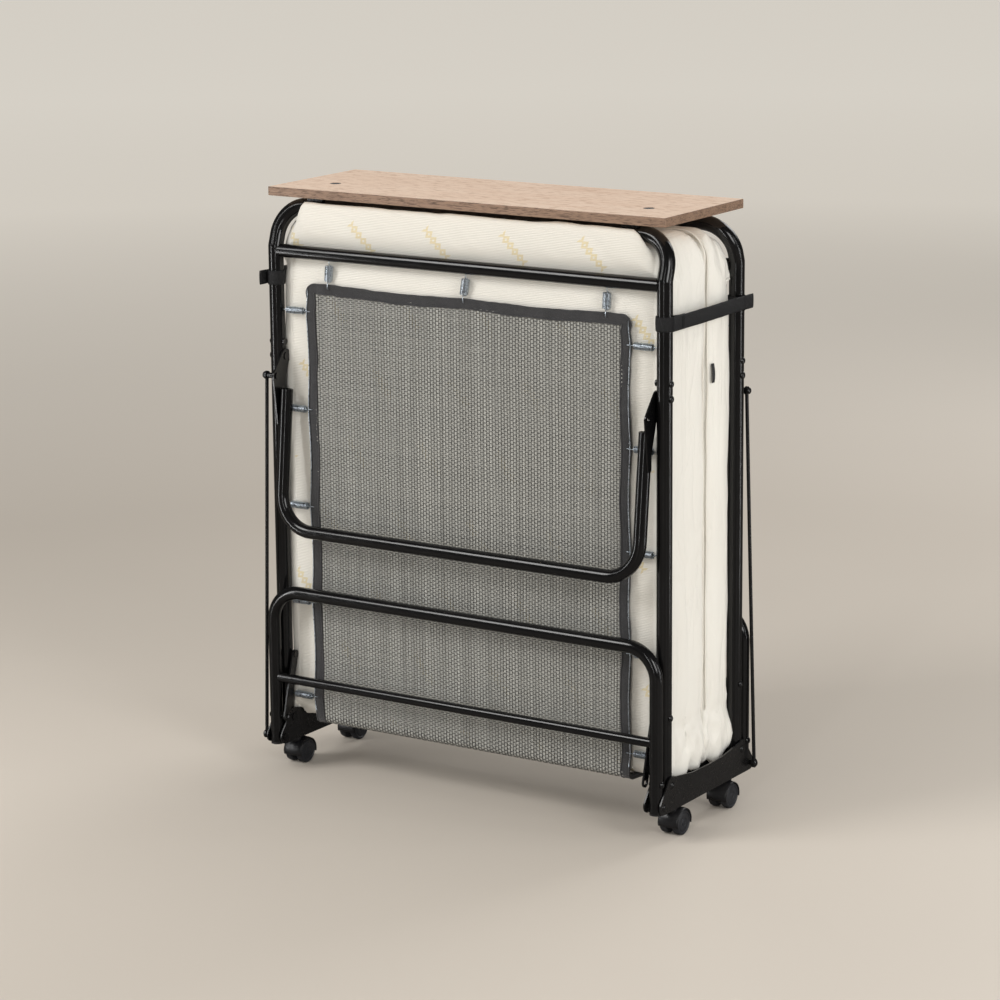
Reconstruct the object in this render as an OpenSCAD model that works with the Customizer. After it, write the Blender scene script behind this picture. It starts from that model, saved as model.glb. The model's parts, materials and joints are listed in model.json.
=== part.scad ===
// Rollaway folding bed, folded and standing upright on four casters.
// Origin on the floor under the middle of the bed; +X across the bed to the right,
// +Y from front to rear, +Z up. Millimetres.

/* [Frame] */
// distance between the side tube centres across the bed
frame_span = 748; // [730:1:760]
// distance between the front and rear frame tube centres
frame_gap = 230; // [228:1:236]
// outside diameter of the main frame tube
main_tube_d = 25.4; // [24:0.1:26]
// wall thickness of every tube
tube_wall = 1.5; // [1.2:0.1:2]
// height of the front frame's top bar
front_bar_z = 974; // [970:1:975]
// height of the rear frame's top bar
rear_bar_z = 968; // [966:1:970]
// height where the frame starts to lean in towards the middle
lean_z = 906; // [905:0.5:906]
// lean of the frame's top end
lean_deg = 18; // [14:1:18]
// centreline radius of the frame's top corners
corner_r = 52; // [45:1:53]
// height of the crossbar
crossbar_z = 899; // [895:0.5:899]
// diameter of the crossbar
crossbar_d = 22.2; // [20:0.1:24]

/* [Centre brackets] */
// height of the frame pivots
pivot_z = 92; // [90:1:94]
// height of the lower edge of the side plates
plate_z = 50; // [50:1:51]
// thickness of the side plates
plate_t = 2.5; // [2:0.1:3]

/* [Centre legs] */
// outside diameter of the centre leg tube
hoop_tube_d = 22.2; // [20:0.1:22.4]
// distance between the centre leg side tubes
hoop_span = 751; // [748:1:751]
// height of the centre leg's floor bar when folded
hoop_bar_z = 320.7; // [300:0.1:330]
// height of the lower stretcher when folded
stretcher_z = 167; // [160:1:172]
// diameter of the lower stretcher
stretcher_d = 16; // [12:1:17]
// centreline radius of the centre leg's corners
hoop_corner_r = 52; // [45:1:60]

/* [End legs] */
// height of the end leg's pivot
leg_pivot_z = 721; // [718:1:724]
// height of the end leg's floor bar when folded
leg_bar_z = 433; // [420:1:440]
// centreline radius of the end leg's corners
leg_corner_r = 60; // [50:1:65]

/* [Deck] */
// width of the mesh deck over its binding
mesh_w = 628; // [610:1:632]
// height of the mesh deck's top edge
mesh_top_z = 849; // [840:1:852]
// width of the binding round the mesh
binding_w = 18; // [14:1:22]

/* [Mattress] */
// width of the mattress
mattress_w = 732; // [700:1:734]
// height of the mattress's top end
mattress_top_z = 955; // [930:1:956]
// thickness of the front mattress half
front_half_t = 110; // [100:1:112]
// thickness of the rear mattress half
rear_half_t = 84; // [78:1:86]

/* [Headboard] */
// length of the headboard
board_l = 760; // [740:1:780]
// depth of the headboard
board_w = 251; // [230:1:260]
// thickness of the headboard
board_t = 14.8; // [12:0.1:15]

/* [Casters] */
// wheel diameter
wheel_d = 42; // [38:1:42]
// distance from the swivel axis to the axle
caster_trail = 10; // [6:1:12]

/* [Hidden] */
$fn = 36;
// main frame tubes: centre, inner and outer face in x, centre in y, radius
side_x = frame_span/2;
frame_y = frame_gap/2;
main_r = main_tube_d/2;
main_in_x = side_x - main_r;
main_out_x = side_x + main_r;
main_end_z = pivot_z - 14;
// centre leg tubes and their pivot
hoop_x = hoop_span/2;
hoop_r = hoop_tube_d/2;
hoop_y = frame_y + 27;
hoop_pivot_z = pivot_z - 30;
hoop_end_z = hoop_pivot_z - 10;
// fold links: pin heights, outer face and thickness
link_low_z = hoop_pivot_z + 37;
link_top_z = pivot_z + 111;
link_x = 356.2;
link_t = 3;
// side plates: inner face of the outer pair, outer face of the inner pair
outer_plate_x = 387.6;
inner_plate_x = 360.8;
// end leg: bracket plate, connecting rod pin and stop bolt
bracket_x = 357.8;
bracket_t = 2.8;
rod_pin_z = leg_pivot_z - 30;
stop_z = leg_pivot_z + 24;
// connecting rod: x range of its top and lower eyes
rod_top_x = [377, 381];
rod_low_x = [396, 400];
// bolts, pins and their holes
bolt_r = 4;
bolt_hole_r = 4.05;
bolt_head_r = 6.5;
head_t = 1.6;
pin_r = 3;
pin_hole_r = 3.05;
pin_head_r = 5.5;
pin_dome_r = 6;
dome_h = 3;
// casters
stem_y = 90;
stem_r = 5;
axle_z = wheel_d/2;
// mesh deck and its springs
mesh_t = 1.2;
mesh_bottom_z = 100;
mesh_in_x = mesh_w/2 - binding_w;
mesh_in_top_z = mesh_top_z - binding_w;
eyelet_inset = 7;
spring_z = [134, 300, 467, 634, 800];
spring_x = [-268, 0, 268];

frame_color = [0.07, 0.07, 0.075];
zinc_color = [0.62, 0.65, 0.68];
mattress_color = [0.92, 0.90, 0.84];
mesh_color = [0.42, 0.43, 0.43];
binding_color = [0.17, 0.17, 0.19];
wood_color = [0.80, 0.64, 0.50];
strap_color = [0.05, 0.05, 0.05];
fork_color = [0.09, 0.09, 0.1];
wheel_color = [0.13, 0.13, 0.14];

// ---- helpers ----
// cylinder along +X from x0 to x1 through (y, z)
module xrod(x0, x1, y, z, r) {
  translate([x0, y, z]) rotate([0, 90, 0]) cylinder(h = x1 - x0, r = r);
}
// children on the right and mirrored on the left
module both() {
  children();
  mirror([1, 0, 0]) children();
}
// children drawn on the right, put on side -1 (left) or 1 (right)
module on_side(side) { mirror([side < 0 ? 1 : 0, 0, 0]) children(); }
// children drawn at the front, moved to the rear
module rear() { mirror([0, 1, 0]) children(); }
module xpair(x0, x1, y, z, r) { both() xrod(x0, x1, y, z, r); }
// round rod between two points
module bar(start, end, r) {
  span = end - start;
  length = norm(span);
  translate(start) rotate([0, acos(span[2]/length), atan2(span[1], span[0])])
    cylinder(h = length, r = r);
}
// domed head of radius r and height h, base at x, pointing to +X
module dome(x, y, z, r, h) {
  ball_r = (r*r + h*h)/(2*h);
  translate([x, y, z]) rotate([0, 90, 0]) intersection() {
    translate([0, 0, h - ball_r]) sphere(r = ball_r, $fn = 32);
    cylinder(h = h, r = r + 1);
  }
}
// quarter bend about the origin in the XZ plane, from the +X to the +Z axis
module bend(bend_r, r) {
  rotate([90, 0, 0]) rotate_extrude(angle = 90, $fn = 64)
    translate([bend_r, 0]) circle(r = r, $fn = 32);
}
// extrudes a (y, z) drawing along +X from x0 by t
module slab(x0, t) { translate([x0, 0, 0]) rotate([90, 0, 90]) linear_extrude(t) children(); }
// two discs joined by straight sides that end just inside the tangent points
module web(p1, r1, p2, r2) {
  length = norm(p2 - p1);
  along = (p2 - p1)/length;
  across = [-along[1], along[0]];
  sine = (r1 - r2)/length;
  cosine = sqrt(1 - sine*sine);
  edge1 = (along*sine + across*cosine)*0.994;
  edge2 = (along*sine - across*cosine)*0.994;
  polygon([p1 + r1*edge1, p2 + r2*edge1, p2 + r2*edge2, p1 + r1*edge2]);
  translate(p1) circle(r = r1);
  translate(p2) circle(r = r2);
}
// pivot bolt: flat head inside face x_in, domed head outside face x_out
module bolt(x_in, x_out, y, z) {
  xrod(x_in, x_out, y, z, bolt_r);
  xrod(x_in - head_t, x_in, y, z, bolt_head_r);
  dome(x_out, y, z, bolt_head_r, dome_h);
}
// hollow cross tube between -x and x, coped round a side tube at each end
module cross_tube(x, y, z, r, cope_r) {
  difference() {
    xrod(-x, x, y, z, r);
    xrod(-x, x, y, z, r - tube_wall);
    both() translate([x, y, z - 30]) cylinder(h = 60, r = cope_r);
  }
}
// flanged plugs in the lower ends of a pair of upright tubes
module end_plugs(x, y, end_z, r) {
  both() translate([x, y, end_z - 3]) {
    cylinder(h = 3, r = r);
    cylinder(h = 8, r = r - tube_wall - 0.1);
  }
}

// Parts that come in front and rear copies are drawn at the front, at negative y.

// ---- main frame ----
// inverted U with its top leaning towards the middle
module main_path(r, bar_z) {
  lean_len = (bar_z - lean_z)/cos(lean_deg);
  bar_x = side_x - corner_r;
  both() {
    translate([side_x, -frame_y, main_end_z]) cylinder(h = lean_z - main_end_z, r = r);
    translate([side_x, -frame_y, lean_z]) sphere(r = r);
    translate([0, -frame_y, lean_z]) rotate([-lean_deg, 0, 0]) {
      if (lean_len > corner_r)
        translate([side_x, 0, 0]) cylinder(h = lean_len - corner_r, r = r);
      translate([bar_x, 0, lean_len - corner_r]) bend(corner_r, r);
    }
  }
  translate([0, -frame_y, lean_z]) rotate([-lean_deg, 0, 0]) xrod(-bar_x, bar_x, 0, lean_len, r);
}
module main_frame(bar_z) {
  // height and radius of the cross holes in each side tube
  holes = [[pivot_z, bolt_hole_r], [link_top_z, pin_hole_r], [leg_pivot_z, bolt_r],
    [stop_z, pin_r]];
  difference() {
    main_path(main_r, bar_z);
    main_path(main_r - tube_wall, bar_z);
    // opens the lower ends
    both() translate([side_x, -frame_y, main_end_z - 1]) cylinder(h = 6, r = main_r - tube_wall);
    for (hole = holes) xpair(side_x - 20, side_x + 20, -frame_y, hole[0], hole[1]);
    for (z = spring_z) xpair(side_x - 16, side_x - 6, -frame_y, z, 2);
  }
}
module crossbar() {
  difference() {
    cross_tube(side_x, -frame_y, crossbar_z, crossbar_d/2, main_r + 0.65);
    for (x = spring_x) translate([x, -frame_y, crossbar_z - 14]) cylinder(h = 8, r = 2);
  }
}
module tube_plugs() { end_plugs(side_x, -frame_y, main_end_z, main_r); }
module link_pins() {
  head_x = link_x - link_t;
  both() {
    xrod(head_x, main_out_x, -frame_y, link_top_z, pin_r);
    xrod(link_x, main_in_x, -frame_y, link_top_z, pin_head_r);
    xrod(head_x - head_t, head_x, -frame_y, link_top_z, pin_head_r);
    dome(main_out_x, -frame_y, link_top_z, pin_dome_r, dome_h);
  }
}
module leg_pivot_bolts() { both() bolt(bracket_x, main_out_x, -frame_y, leg_pivot_z); }
module leg_stop_bolts() {
  both() {
    xrod(main_in_x - 0.2, main_out_x, -frame_y, stop_z, pin_r);
    xrod(main_in_x - 2.6, main_in_x, -frame_y, stop_z, pin_head_r);
    dome(main_out_x, -frame_y, stop_z, pin_dome_r, dome_h);
  }
}

// ---- mesh deck and springs ----
wire_r = 0.9;
hook_front = 3.1;  // hook wire in front of the mesh
hook_back = 3;     // hook's reach behind the mesh
// end of a spring hook passing through the mesh binding
module hook_end(x, z) {
  translate([x, -frame_y - hook_front, z]) sphere(r = wire_r);
  translate([x, -frame_y + hook_back, z]) rotate([90, 0, 0])
    cylinder(h = hook_front + hook_back, r = wire_r);
}
module side_springs() {
  $fn = 16;
  hook_x = mesh_w/2 - eyelet_inset;
  for (z = spring_z) both() {
    xrod(hook_x + 12, main_in_x - 8, -frame_y, z, 5.6);
    xrod(main_in_x - 9, main_in_x + 2.5, -frame_y, z, wire_r);
    xrod(hook_x, hook_x + 13, -frame_y - hook_front, z, wire_r);
    hook_end(hook_x, z);
  }
}
module top_springs() {
  $fn = 16;
  bar_z = crossbar_z - crossbar_d/2;
  hook_z = mesh_top_z - eyelet_inset;
  for (x = spring_x) {
    translate([x, -frame_y, hook_z + 12]) cylinder(h = bar_z - 9 - hook_z - 12, r = 6.5);
    translate([x, -frame_y, bar_z - 10]) cylinder(h = 12.5, r = wire_r);
    translate([x, -frame_y - hook_front, hook_z]) cylinder(h = 13, r = wire_r);
    hook_end(x, hook_z);
  }
}
module mesh_panel() {
  translate([-mesh_in_x, -frame_y - mesh_t/2, mesh_bottom_z])
    cube([2*mesh_in_x, mesh_t, mesh_in_top_z - mesh_bottom_z]);
}
module eyelet_hole(x, z) {
  translate([x, -frame_y + 3, z]) rotate([90, 0, 0]) cylinder(h = 6, r = 2.6, $fn = 24);
}
// binding along the sides and top of the mesh
module mesh_binding() {
  binding_t = 2.8;
  difference() {
    translate([-mesh_w/2, -frame_y - binding_t/2, mesh_bottom_z])
      cube([mesh_w, binding_t, mesh_top_z - mesh_bottom_z]);
    translate([-mesh_in_x, -frame_y - 2, mesh_bottom_z - 1])
      cube([2*mesh_in_x, 4, mesh_in_top_z - mesh_bottom_z + 1]);
    for (z = spring_z) both() eyelet_hole(mesh_w/2 - eyelet_inset, z);
    for (x = spring_x) eyelet_hole(x, mesh_top_z - eyelet_inset);
  }
}

// ---- centre leg: inverted U tube ----
module hoop_path(r, end_z) {
  bar_x = hoop_x - hoop_corner_r;
  corner_z = hoop_bar_z - hoop_corner_r;
  both() {
    translate([hoop_x, -hoop_y, end_z]) cylinder(h = corner_z - end_z, r = r);
    translate([bar_x, -hoop_y, corner_z]) bend(hoop_corner_r, r);
  }
  xrod(-bar_x, bar_x, -hoop_y, hoop_bar_z, r);
}
module centre_leg() {
  difference() {
    hoop_path(hoop_r, hoop_end_z);
    hoop_path(hoop_r - tube_wall, hoop_end_z - 1);
    xpair(hoop_x - 20, hoop_x + 20, -hoop_y, hoop_pivot_z, bolt_hole_r);
    xpair(hoop_x - 20, hoop_x + 20, -hoop_y, link_low_z, pin_r);
  }
}
module stretcher() { cross_tube(hoop_x, -hoop_y, stretcher_z, stretcher_d/2, hoop_r + 0.01); }
module centre_leg_plugs() { end_plugs(hoop_x, -hoop_y, hoop_end_z, hoop_r); }
module centre_leg_pins() {
  both() {
    xrod(hoop_x - hoop_r - 1.5, hoop_x + hoop_r, -hoop_y, link_low_z, pin_r);
    dome(hoop_x + hoop_r, -hoop_y, link_low_z, pin_dome_r, 3.2);
  }
}
module fold_links() {
  top = [-frame_y, link_top_z];
  low = [-hoop_y, link_low_z];
  both() slab(link_x - link_t, link_t) difference() {
    web(top, 8, low, 8);
    translate(top) circle(r = pin_hole_r);
    translate(low) circle(r = 4.5);
  }
}

// ---- end leg: U tube with a bracket plate on each side ----
leg_deg = 5.8;          // lean of the leg; its lower end is further from the middle
leg_x = 348;            // side tube centres
leg_y = frame_y + 38;   // floor bar, distance from the middle
leg_top_z = 668;
leg_len = (leg_top_z - leg_bar_z)/cos(leg_deg);
module leg_path(r, length) {
  bar_x = leg_x - leg_corner_r;
  translate([0, -leg_y, leg_bar_z]) rotate([-leg_deg, 0, 0]) {
    both() {
      translate([leg_x, 0, leg_corner_r]) cylinder(h = length - leg_corner_r, r = r);
      translate([bar_x, 0, leg_corner_r]) mirror([0, 0, 1]) bend(leg_corner_r, r);
    }
    xrod(-bar_x, bar_x, 0, 0, r);
  }
}
// (y, z) outline of the bracket plate
module leg_bracket() {
  pivot = [-frame_y, leg_pivot_z];
  rod_pin = [-hoop_y, rod_pin_z];
  tip = [-frame_y - 22.5, 610];
  difference() {
    union() {
      web(pivot, 12, rod_pin, 10);
      web(rod_pin, 10, tip, 5);
      polygon([pivot + [6, -12], pivot - [2, 0], rod_pin, tip, [-frame_y - 12, 652]]);
    }
    translate(pivot) circle(r = bolt_hole_r);
    translate(rod_pin) circle(r = pin_r);
  }
}
module end_leg() {
  difference() {
    union() {
      difference() {
        leg_path(hoop_r, leg_len);
        leg_path(hoop_r - tube_wall, leg_len + 1);
      }
      both() slab(bracket_x, bracket_t) leg_bracket();
    }
    xpair(main_in_x - 40, side_x + 40, -hoop_y, rod_pin_z, pin_r);
  }
}

// ---- connecting rod from the end leg's bracket to the centre leg's pivot ----
module rod_bolt(side) {
  end_x = 384;
  on_side(side) {
    xrod(bracket_x, end_x, -hoop_y, rod_pin_z, pin_r);
    xrod(bracket_x - 1.8, bracket_x, -hoop_y, rod_pin_z, pin_head_r);
    dome(end_x, -hoop_y, rod_pin_z, pin_head_r, 2.5);
    xrod(bracket_x + bracket_t, rod_top_x[0] - 0.5, -hoop_y, rod_pin_z, 4.6);
  }
}
module connecting_rod(side) {
  top_mid_x = (rod_top_x[0] + rod_top_x[1])/2;
  low_mid_x = (rod_low_x[0] + rod_low_x[1])/2;
  on_side(side) difference() {
    union() {
      xrod(rod_top_x[0], rod_top_x[1], -hoop_y, rod_pin_z, 7);
      xrod(rod_low_x[0], rod_low_x[1], -hoop_y, hoop_pivot_z, 7.5);
      bar([top_mid_x, -hoop_y, rod_pin_z - 5], [low_mid_x, -hoop_y, hoop_pivot_z + 5], 3);
    }
    xrod(370, 390, -hoop_y, rod_pin_z, pin_hole_r);
    xrod(390, 410, -hoop_y, hoop_pivot_z, bolt_hole_r);
  }
}

// ---- upright half of the mattress, with rounded top corners ----
module mattress_half(half_t) {
  half_w = mattress_w/2;
  round_r = 70;
  bottom_z = 165;
  flat_x = half_w - round_r;
  round_z = mattress_top_z - round_r;
  translate([0, -frame_y + 15 + half_t, 0]) rotate([90, 0, 0]) linear_extrude(half_t) {
    polygon([[-half_w, bottom_z], [half_w, bottom_z], [half_w, round_z],
      [flat_x, mattress_top_z], [-flat_x, mattress_top_z], [-half_w, round_z]]);
    for (s = [-1, 1]) translate([s*flat_x, round_z]) circle(r = round_r, $fn = 64);
  }
}

// ---- centre brackets ----
// (y, z) outline of a side plate
module plate_shape() {
  difference() {
    for (s = [-1, 1]) {
      web([s*frame_y, pivot_z], 16, [s*hoop_y, hoop_pivot_z], 12);
      polygon([[s*hoop_y, plate_z], [s*hoop_y, hoop_pivot_z], [s*frame_y, pivot_z],
        [s*(frame_y - 9), pivot_z + 13.23], [s*50, 97], [0, 96], [0, plate_z]]);
    }
    for (s = [-1, 1]) {
      translate([s*frame_y, pivot_z]) circle(r = bolt_r);
      translate([s*hoop_y, hoop_pivot_z]) circle(r = bolt_r);
    }
  }
}
module outer_side_plates() { color(frame_color) both() slab(outer_plate_x, plate_t) plate_shape(); }
module inner_side_plates() {
  color(frame_color) both() slab(inner_plate_x - plate_t, plate_t) plate_shape();
}
// blocks between the plates that hold the caster stems
module caster_channels() {
  length = 28;
  height = 16;
  color(frame_color) both() for (s = [-1, 1]) difference() {
    translate([inner_plate_x, s*stem_y - length/2, plate_z])
      cube([outer_plate_x - inner_plate_x, length, height]);
    translate([side_x, s*stem_y, plate_z - 1]) cylinder(h = height + 2, r = stem_r + 0.05);
  }
}
module frame_bolts() {
  both() bolt(inner_plate_x - plate_t, outer_plate_x + plate_t, -frame_y, pivot_z);
}
module frame_pivot_bolts() {
  color(frame_color) {
    frame_bolts();
    rear() frame_bolts();
  }
}
// the bolt on the connecting rod's side is longer
module hoop_bolts(rod_side) {
  for (s = [-1, 1]) on_side(s)
    bolt(inner_plate_x - plate_t, s == rod_side ? rod_low_x[1] + 1 : outer_plate_x + plate_t,
      -hoop_y, hoop_pivot_z);
}
module centre_leg_pivot_bolts() {
  color(frame_color) {
    hoop_bolts(-1);
    rear() hoop_bolts(1);
  }
}

// ---- middle of the deck and mattress ----
// mesh strip joining the lower ends of the two mesh decks
module centre_mesh() {
  bend_r = 12;
  outer_r = bend_r + mesh_t/2;
  flat_y = frame_y - bend_r;
  color(mesh_color) slab(-mesh_w/2, mesh_w) {
    translate([-flat_y, mesh_bottom_z - outer_r]) square([2*flat_y, mesh_t]);
    for (s = [0, 1]) mirror([s, 0]) translate([-flat_y, mesh_bottom_z]) intersection() {
      difference() {
        circle(r = outer_r, $fn = 64);
        circle(r = bend_r - mesh_t/2, $fn = 64);
      }
      translate([-20, -20]) square([20.3, 19]);
    }
  }
}
// lower part of the mattress, with rounded lower edges
module mattress_fold() {
  width = 704;
  round_r = 40;
  round_y = 60;
  round_z = 132;
  top_z = 163;
  half_y = round_y + round_r;
  bottom_z = round_z - round_r;
  color(mattress_color) slab(-width/2, width) {
    translate([-half_y, round_z]) square([2*half_y, top_z - round_z]);
    translate([-round_y, bottom_z]) square([2*round_y, top_z - bottom_z]);
    for (s = [-1, 1]) translate([s*round_y, round_z]) intersection() {
      circle(r = round_r, $fn = 64);
      translate([-50, -50]) square([100, 60]);
    }
  }
}

// ---- front nodes ----
module front_main_frame() { color(frame_color) main_frame(front_bar_z); }
module front_crossbar() { color(frame_color) crossbar(); }
module front_tube_plugs() { color(frame_color) tube_plugs(); }
module front_mesh_panel() { color(mesh_color) mesh_panel(); }
module front_mesh_binding() { color(binding_color) mesh_binding(); }
module front_side_springs() { color(zinc_color) side_springs(); }
module front_top_springs() { color(zinc_color) top_springs(); }
module front_link_pins() { color(frame_color) link_pins(); }
module front_leg_pivot_bolts() { color(frame_color) leg_pivot_bolts(); }
module front_leg_stop_bolts() { color(frame_color) leg_stop_bolts(); }
module front_mattress() { color(mattress_color) mattress_half(front_half_t); }
module front_centre_leg() { color(frame_color) centre_leg(); }
module front_centre_leg_stretcher() { color(frame_color) stretcher(); }
module front_centre_leg_plugs() { color(frame_color) centre_leg_plugs(); }
module front_centre_leg_pins() { color(frame_color) centre_leg_pins(); }
module front_fold_links() { color(frame_color) fold_links(); }
module front_end_leg() { color(frame_color) end_leg(); }
module front_rod_bolt() { color(frame_color) rod_bolt(-1); }
module front_connecting_rod() { color(frame_color) connecting_rod(-1); }

// ---- rear nodes ----
module rear_main_frame() { color(frame_color) rear() main_frame(rear_bar_z); }
module rear_crossbar() { color(frame_color) rear() crossbar(); }
module rear_tube_plugs() { color(frame_color) rear() tube_plugs(); }
module rear_mesh_panel() { color(mesh_color) rear() mesh_panel(); }
module rear_mesh_binding() { color(binding_color) rear() mesh_binding(); }
module rear_side_springs() { color(zinc_color) rear() side_springs(); }
module rear_top_springs() { color(zinc_color) rear() top_springs(); }
module rear_link_pins() { color(frame_color) rear() link_pins(); }
module rear_leg_pivot_bolts() { color(frame_color) rear() leg_pivot_bolts(); }
module rear_leg_stop_bolts() { color(frame_color) rear() leg_stop_bolts(); }
module rear_mattress() { color(mattress_color) rear() mattress_half(rear_half_t); }
module rear_centre_leg() { color(frame_color) rear() centre_leg(); }
module rear_centre_leg_stretcher() { color(frame_color) rear() stretcher(); }
module rear_centre_leg_plugs() { color(frame_color) rear() centre_leg_plugs(); }
module rear_centre_leg_pins() { color(frame_color) rear() centre_leg_pins(); }
module rear_fold_links() { color(frame_color) rear() fold_links(); }
module rear_end_leg() { color(frame_color) rear() end_leg(); }
module rear_rod_bolt() { color(frame_color) rear() rod_bolt(1); }
module rear_connecting_rod() { color(frame_color) rear() connecting_rod(1); }

// ---- headboard, lying flat above the front top bar ----
board_z = 991.2;  // underside
board_top_z = board_z + board_t;
screw_x = 302;
screw_y = -41;
screw_hole_r = 2.6;
bar_y = -frame_y + (front_bar_z - lean_z)*tan(lean_deg);  // front top bar
module headboard() {
  color(wood_color) difference() {
    translate([-board_l/2, -board_w/2, board_z]) cube([board_l, board_w, board_t]);
    for (s = [-1, 1]) translate([s*screw_x, screw_y, board_z - 1]) {
      cylinder(h = board_t + 2, r = screw_hole_r);
      translate([0, 0, board_t - 2]) cylinder(h = 6, r = 9.1);
    }
  }
}
module headboard_brackets() {
  width = 30;
  left_x = screw_x - width/2;
  color(frame_color) both() difference() {
    union() {
      translate([left_x, bar_y - 13, board_z - 3]) cube([width, -18 - bar_y + 13, 3]);
      translate([left_x, bar_y - 9, front_bar_z]) cube([width, 18, board_z - 1 - front_bar_z]);
    }
    xrod(280, 330, bar_y, front_bar_z, main_r + 0.01);
    translate([screw_x, screw_y, board_z - 5]) cylinder(h = 8, r = screw_hole_r);
  }
}
// shank, head and nut
module headboard_screws() {
  color(zinc_color) both() translate([screw_x, screw_y, 0]) {
    translate([0, 0, board_z - 9]) cylinder(h = board_t + 7, r = 2.5);
    translate([0, 0, board_top_z - 3]) cylinder(h = 2.8, r = 9);
    translate([0, 0, board_z - 7]) cylinder(h = 4, r = 5);
  }
}

// ---- straps holding the two frames together, drawn on the right ----
module strap(z) {
  thickness = 1.5;
  height = 24;
  tail = 24;
  inner_r = main_r + 0.3;
  bottom_z = z - height/2;
  for (y = [-frame_y, frame_y]) translate([side_x, y, bottom_z]) difference() {
    cylinder(h = height, r = inner_r + thickness);
    translate([0, 0, -1]) cylinder(h = height + 2, r = inner_r);
  }
  translate([side_x + inner_r, -frame_y, bottom_z]) cube([thickness, frame_gap, height]);
  translate([side_x + inner_r, frame_y, bottom_z]) cube([thickness, tail, height]);
}
module right_strap() { color(strap_color) strap(840); }
module left_strap() { color(strap_color) rotate([0, 0, 180]) strap(854); }

// ---- casters: drawn about the stem at (0, 0), axle at y = caster_trail ----
module fork() {
  hood_r = wheel_d/2 + 3;
  room_r = hood_r - 2;
  rib_x = 4.5;  // half thickness of the middle rib
  neck_z = axle_z + 8;
  difference() {
    union() {
      xrod(-19, 19, caster_trail, axle_z, hood_r);
      translate([0, 0, neck_z]) cylinder(h = plate_z - 0.6 - neck_z, r = 8);
    }
    both() {
      // room for the wheel, open underneath and at the outer end
      xrod(rib_x, rib_x + 14, caster_trail, axle_z, room_r);
      translate([rib_x, caster_trail - 30, -10]) cube([20, 60, axle_z + 14]);
      xrod(18.4, 23.4, caster_trail, axle_z, room_r);
    }
    translate([-30, caster_trail - 30, -10]) cube([60, 60, 18]);
    xrod(-30, 30, caster_trail, axle_z, 3.05);
  }
  translate([0, 0, plate_z - 3]) cylinder(h = 17, r = stem_r);
}
// two wheels with recessed outer faces, and their axle
module wheels() {
  both() translate([5.2, caster_trail, axle_z]) rotate([0, 90, 0]) difference() {
    cylinder(h = 12.8, r = wheel_d/2, $fn = 48);
    translate([0, 0, 11.3]) cylinder(h = 5, r = wheel_d/2 - 5, $fn = 48);
  }
  xrod(-16, 16, caster_trail, axle_z, 3);
}
// sx, sy: side of the bed; front casters trail to the rear, rear ones to the front
module at_caster(sx, sy) {
  translate([sx*side_x, sy*stem_y, 0]) rotate([0, 0, sy < 0 ? 0 : 180]) children();
}
module front_left_caster_fork() { color(fork_color) at_caster(-1, -1) fork(); }
module front_right_caster_fork() { color(fork_color) at_caster(1, -1) fork(); }
module rear_left_caster_fork() { color(fork_color) at_caster(-1, 1) fork(); }
module rear_right_caster_fork() { color(fork_color) at_caster(1, 1) fork(); }
module front_left_wheels() { color(wheel_color) at_caster(-1, -1) wheels(); }
module front_right_wheels() { color(wheel_color) at_caster(1, -1) wheels(); }
module rear_left_wheels() { color(wheel_color) at_caster(-1, 1) wheels(); }
module rear_right_wheels() { color(wheel_color) at_caster(1, 1) wheels(); }

outer_side_plates();
inner_side_plates();
caster_channels();
frame_pivot_bolts();
centre_leg_pivot_bolts();
centre_mesh();
mattress_fold();
front_main_frame();
front_crossbar();
front_tube_plugs();
front_mesh_panel();
front_mesh_binding();
front_side_springs();
front_top_springs();
front_link_pins();
front_leg_pivot_bolts();
front_leg_stop_bolts();
front_mattress();
front_centre_leg();
front_centre_leg_stretcher();
front_centre_leg_plugs();
front_centre_leg_pins();
front_fold_links();
front_end_leg();
front_rod_bolt();
front_connecting_rod();
rear_main_frame();
rear_crossbar();
rear_tube_plugs();
rear_mesh_panel();
rear_mesh_binding();
rear_side_springs();
rear_top_springs();
rear_link_pins();
rear_leg_pivot_bolts();
rear_leg_stop_bolts();
rear_mattress();
rear_centre_leg();
rear_centre_leg_stretcher();
rear_centre_leg_plugs();
rear_centre_leg_pins();
rear_fold_links();
rear_end_leg();
rear_rod_bolt();
rear_connecting_rod();
headboard();
headboard_brackets();
headboard_screws();
right_strap();
left_strap();
front_left_caster_fork();
front_right_caster_fork();
rear_left_caster_fork();
rear_right_caster_fork();
front_left_wheels();
front_right_wheels();
rear_left_wheels();
rear_right_wheels();
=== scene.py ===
import bpy, json, math
import numpy as np
from mathutils import Vector, Matrix, Quaternion

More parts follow.
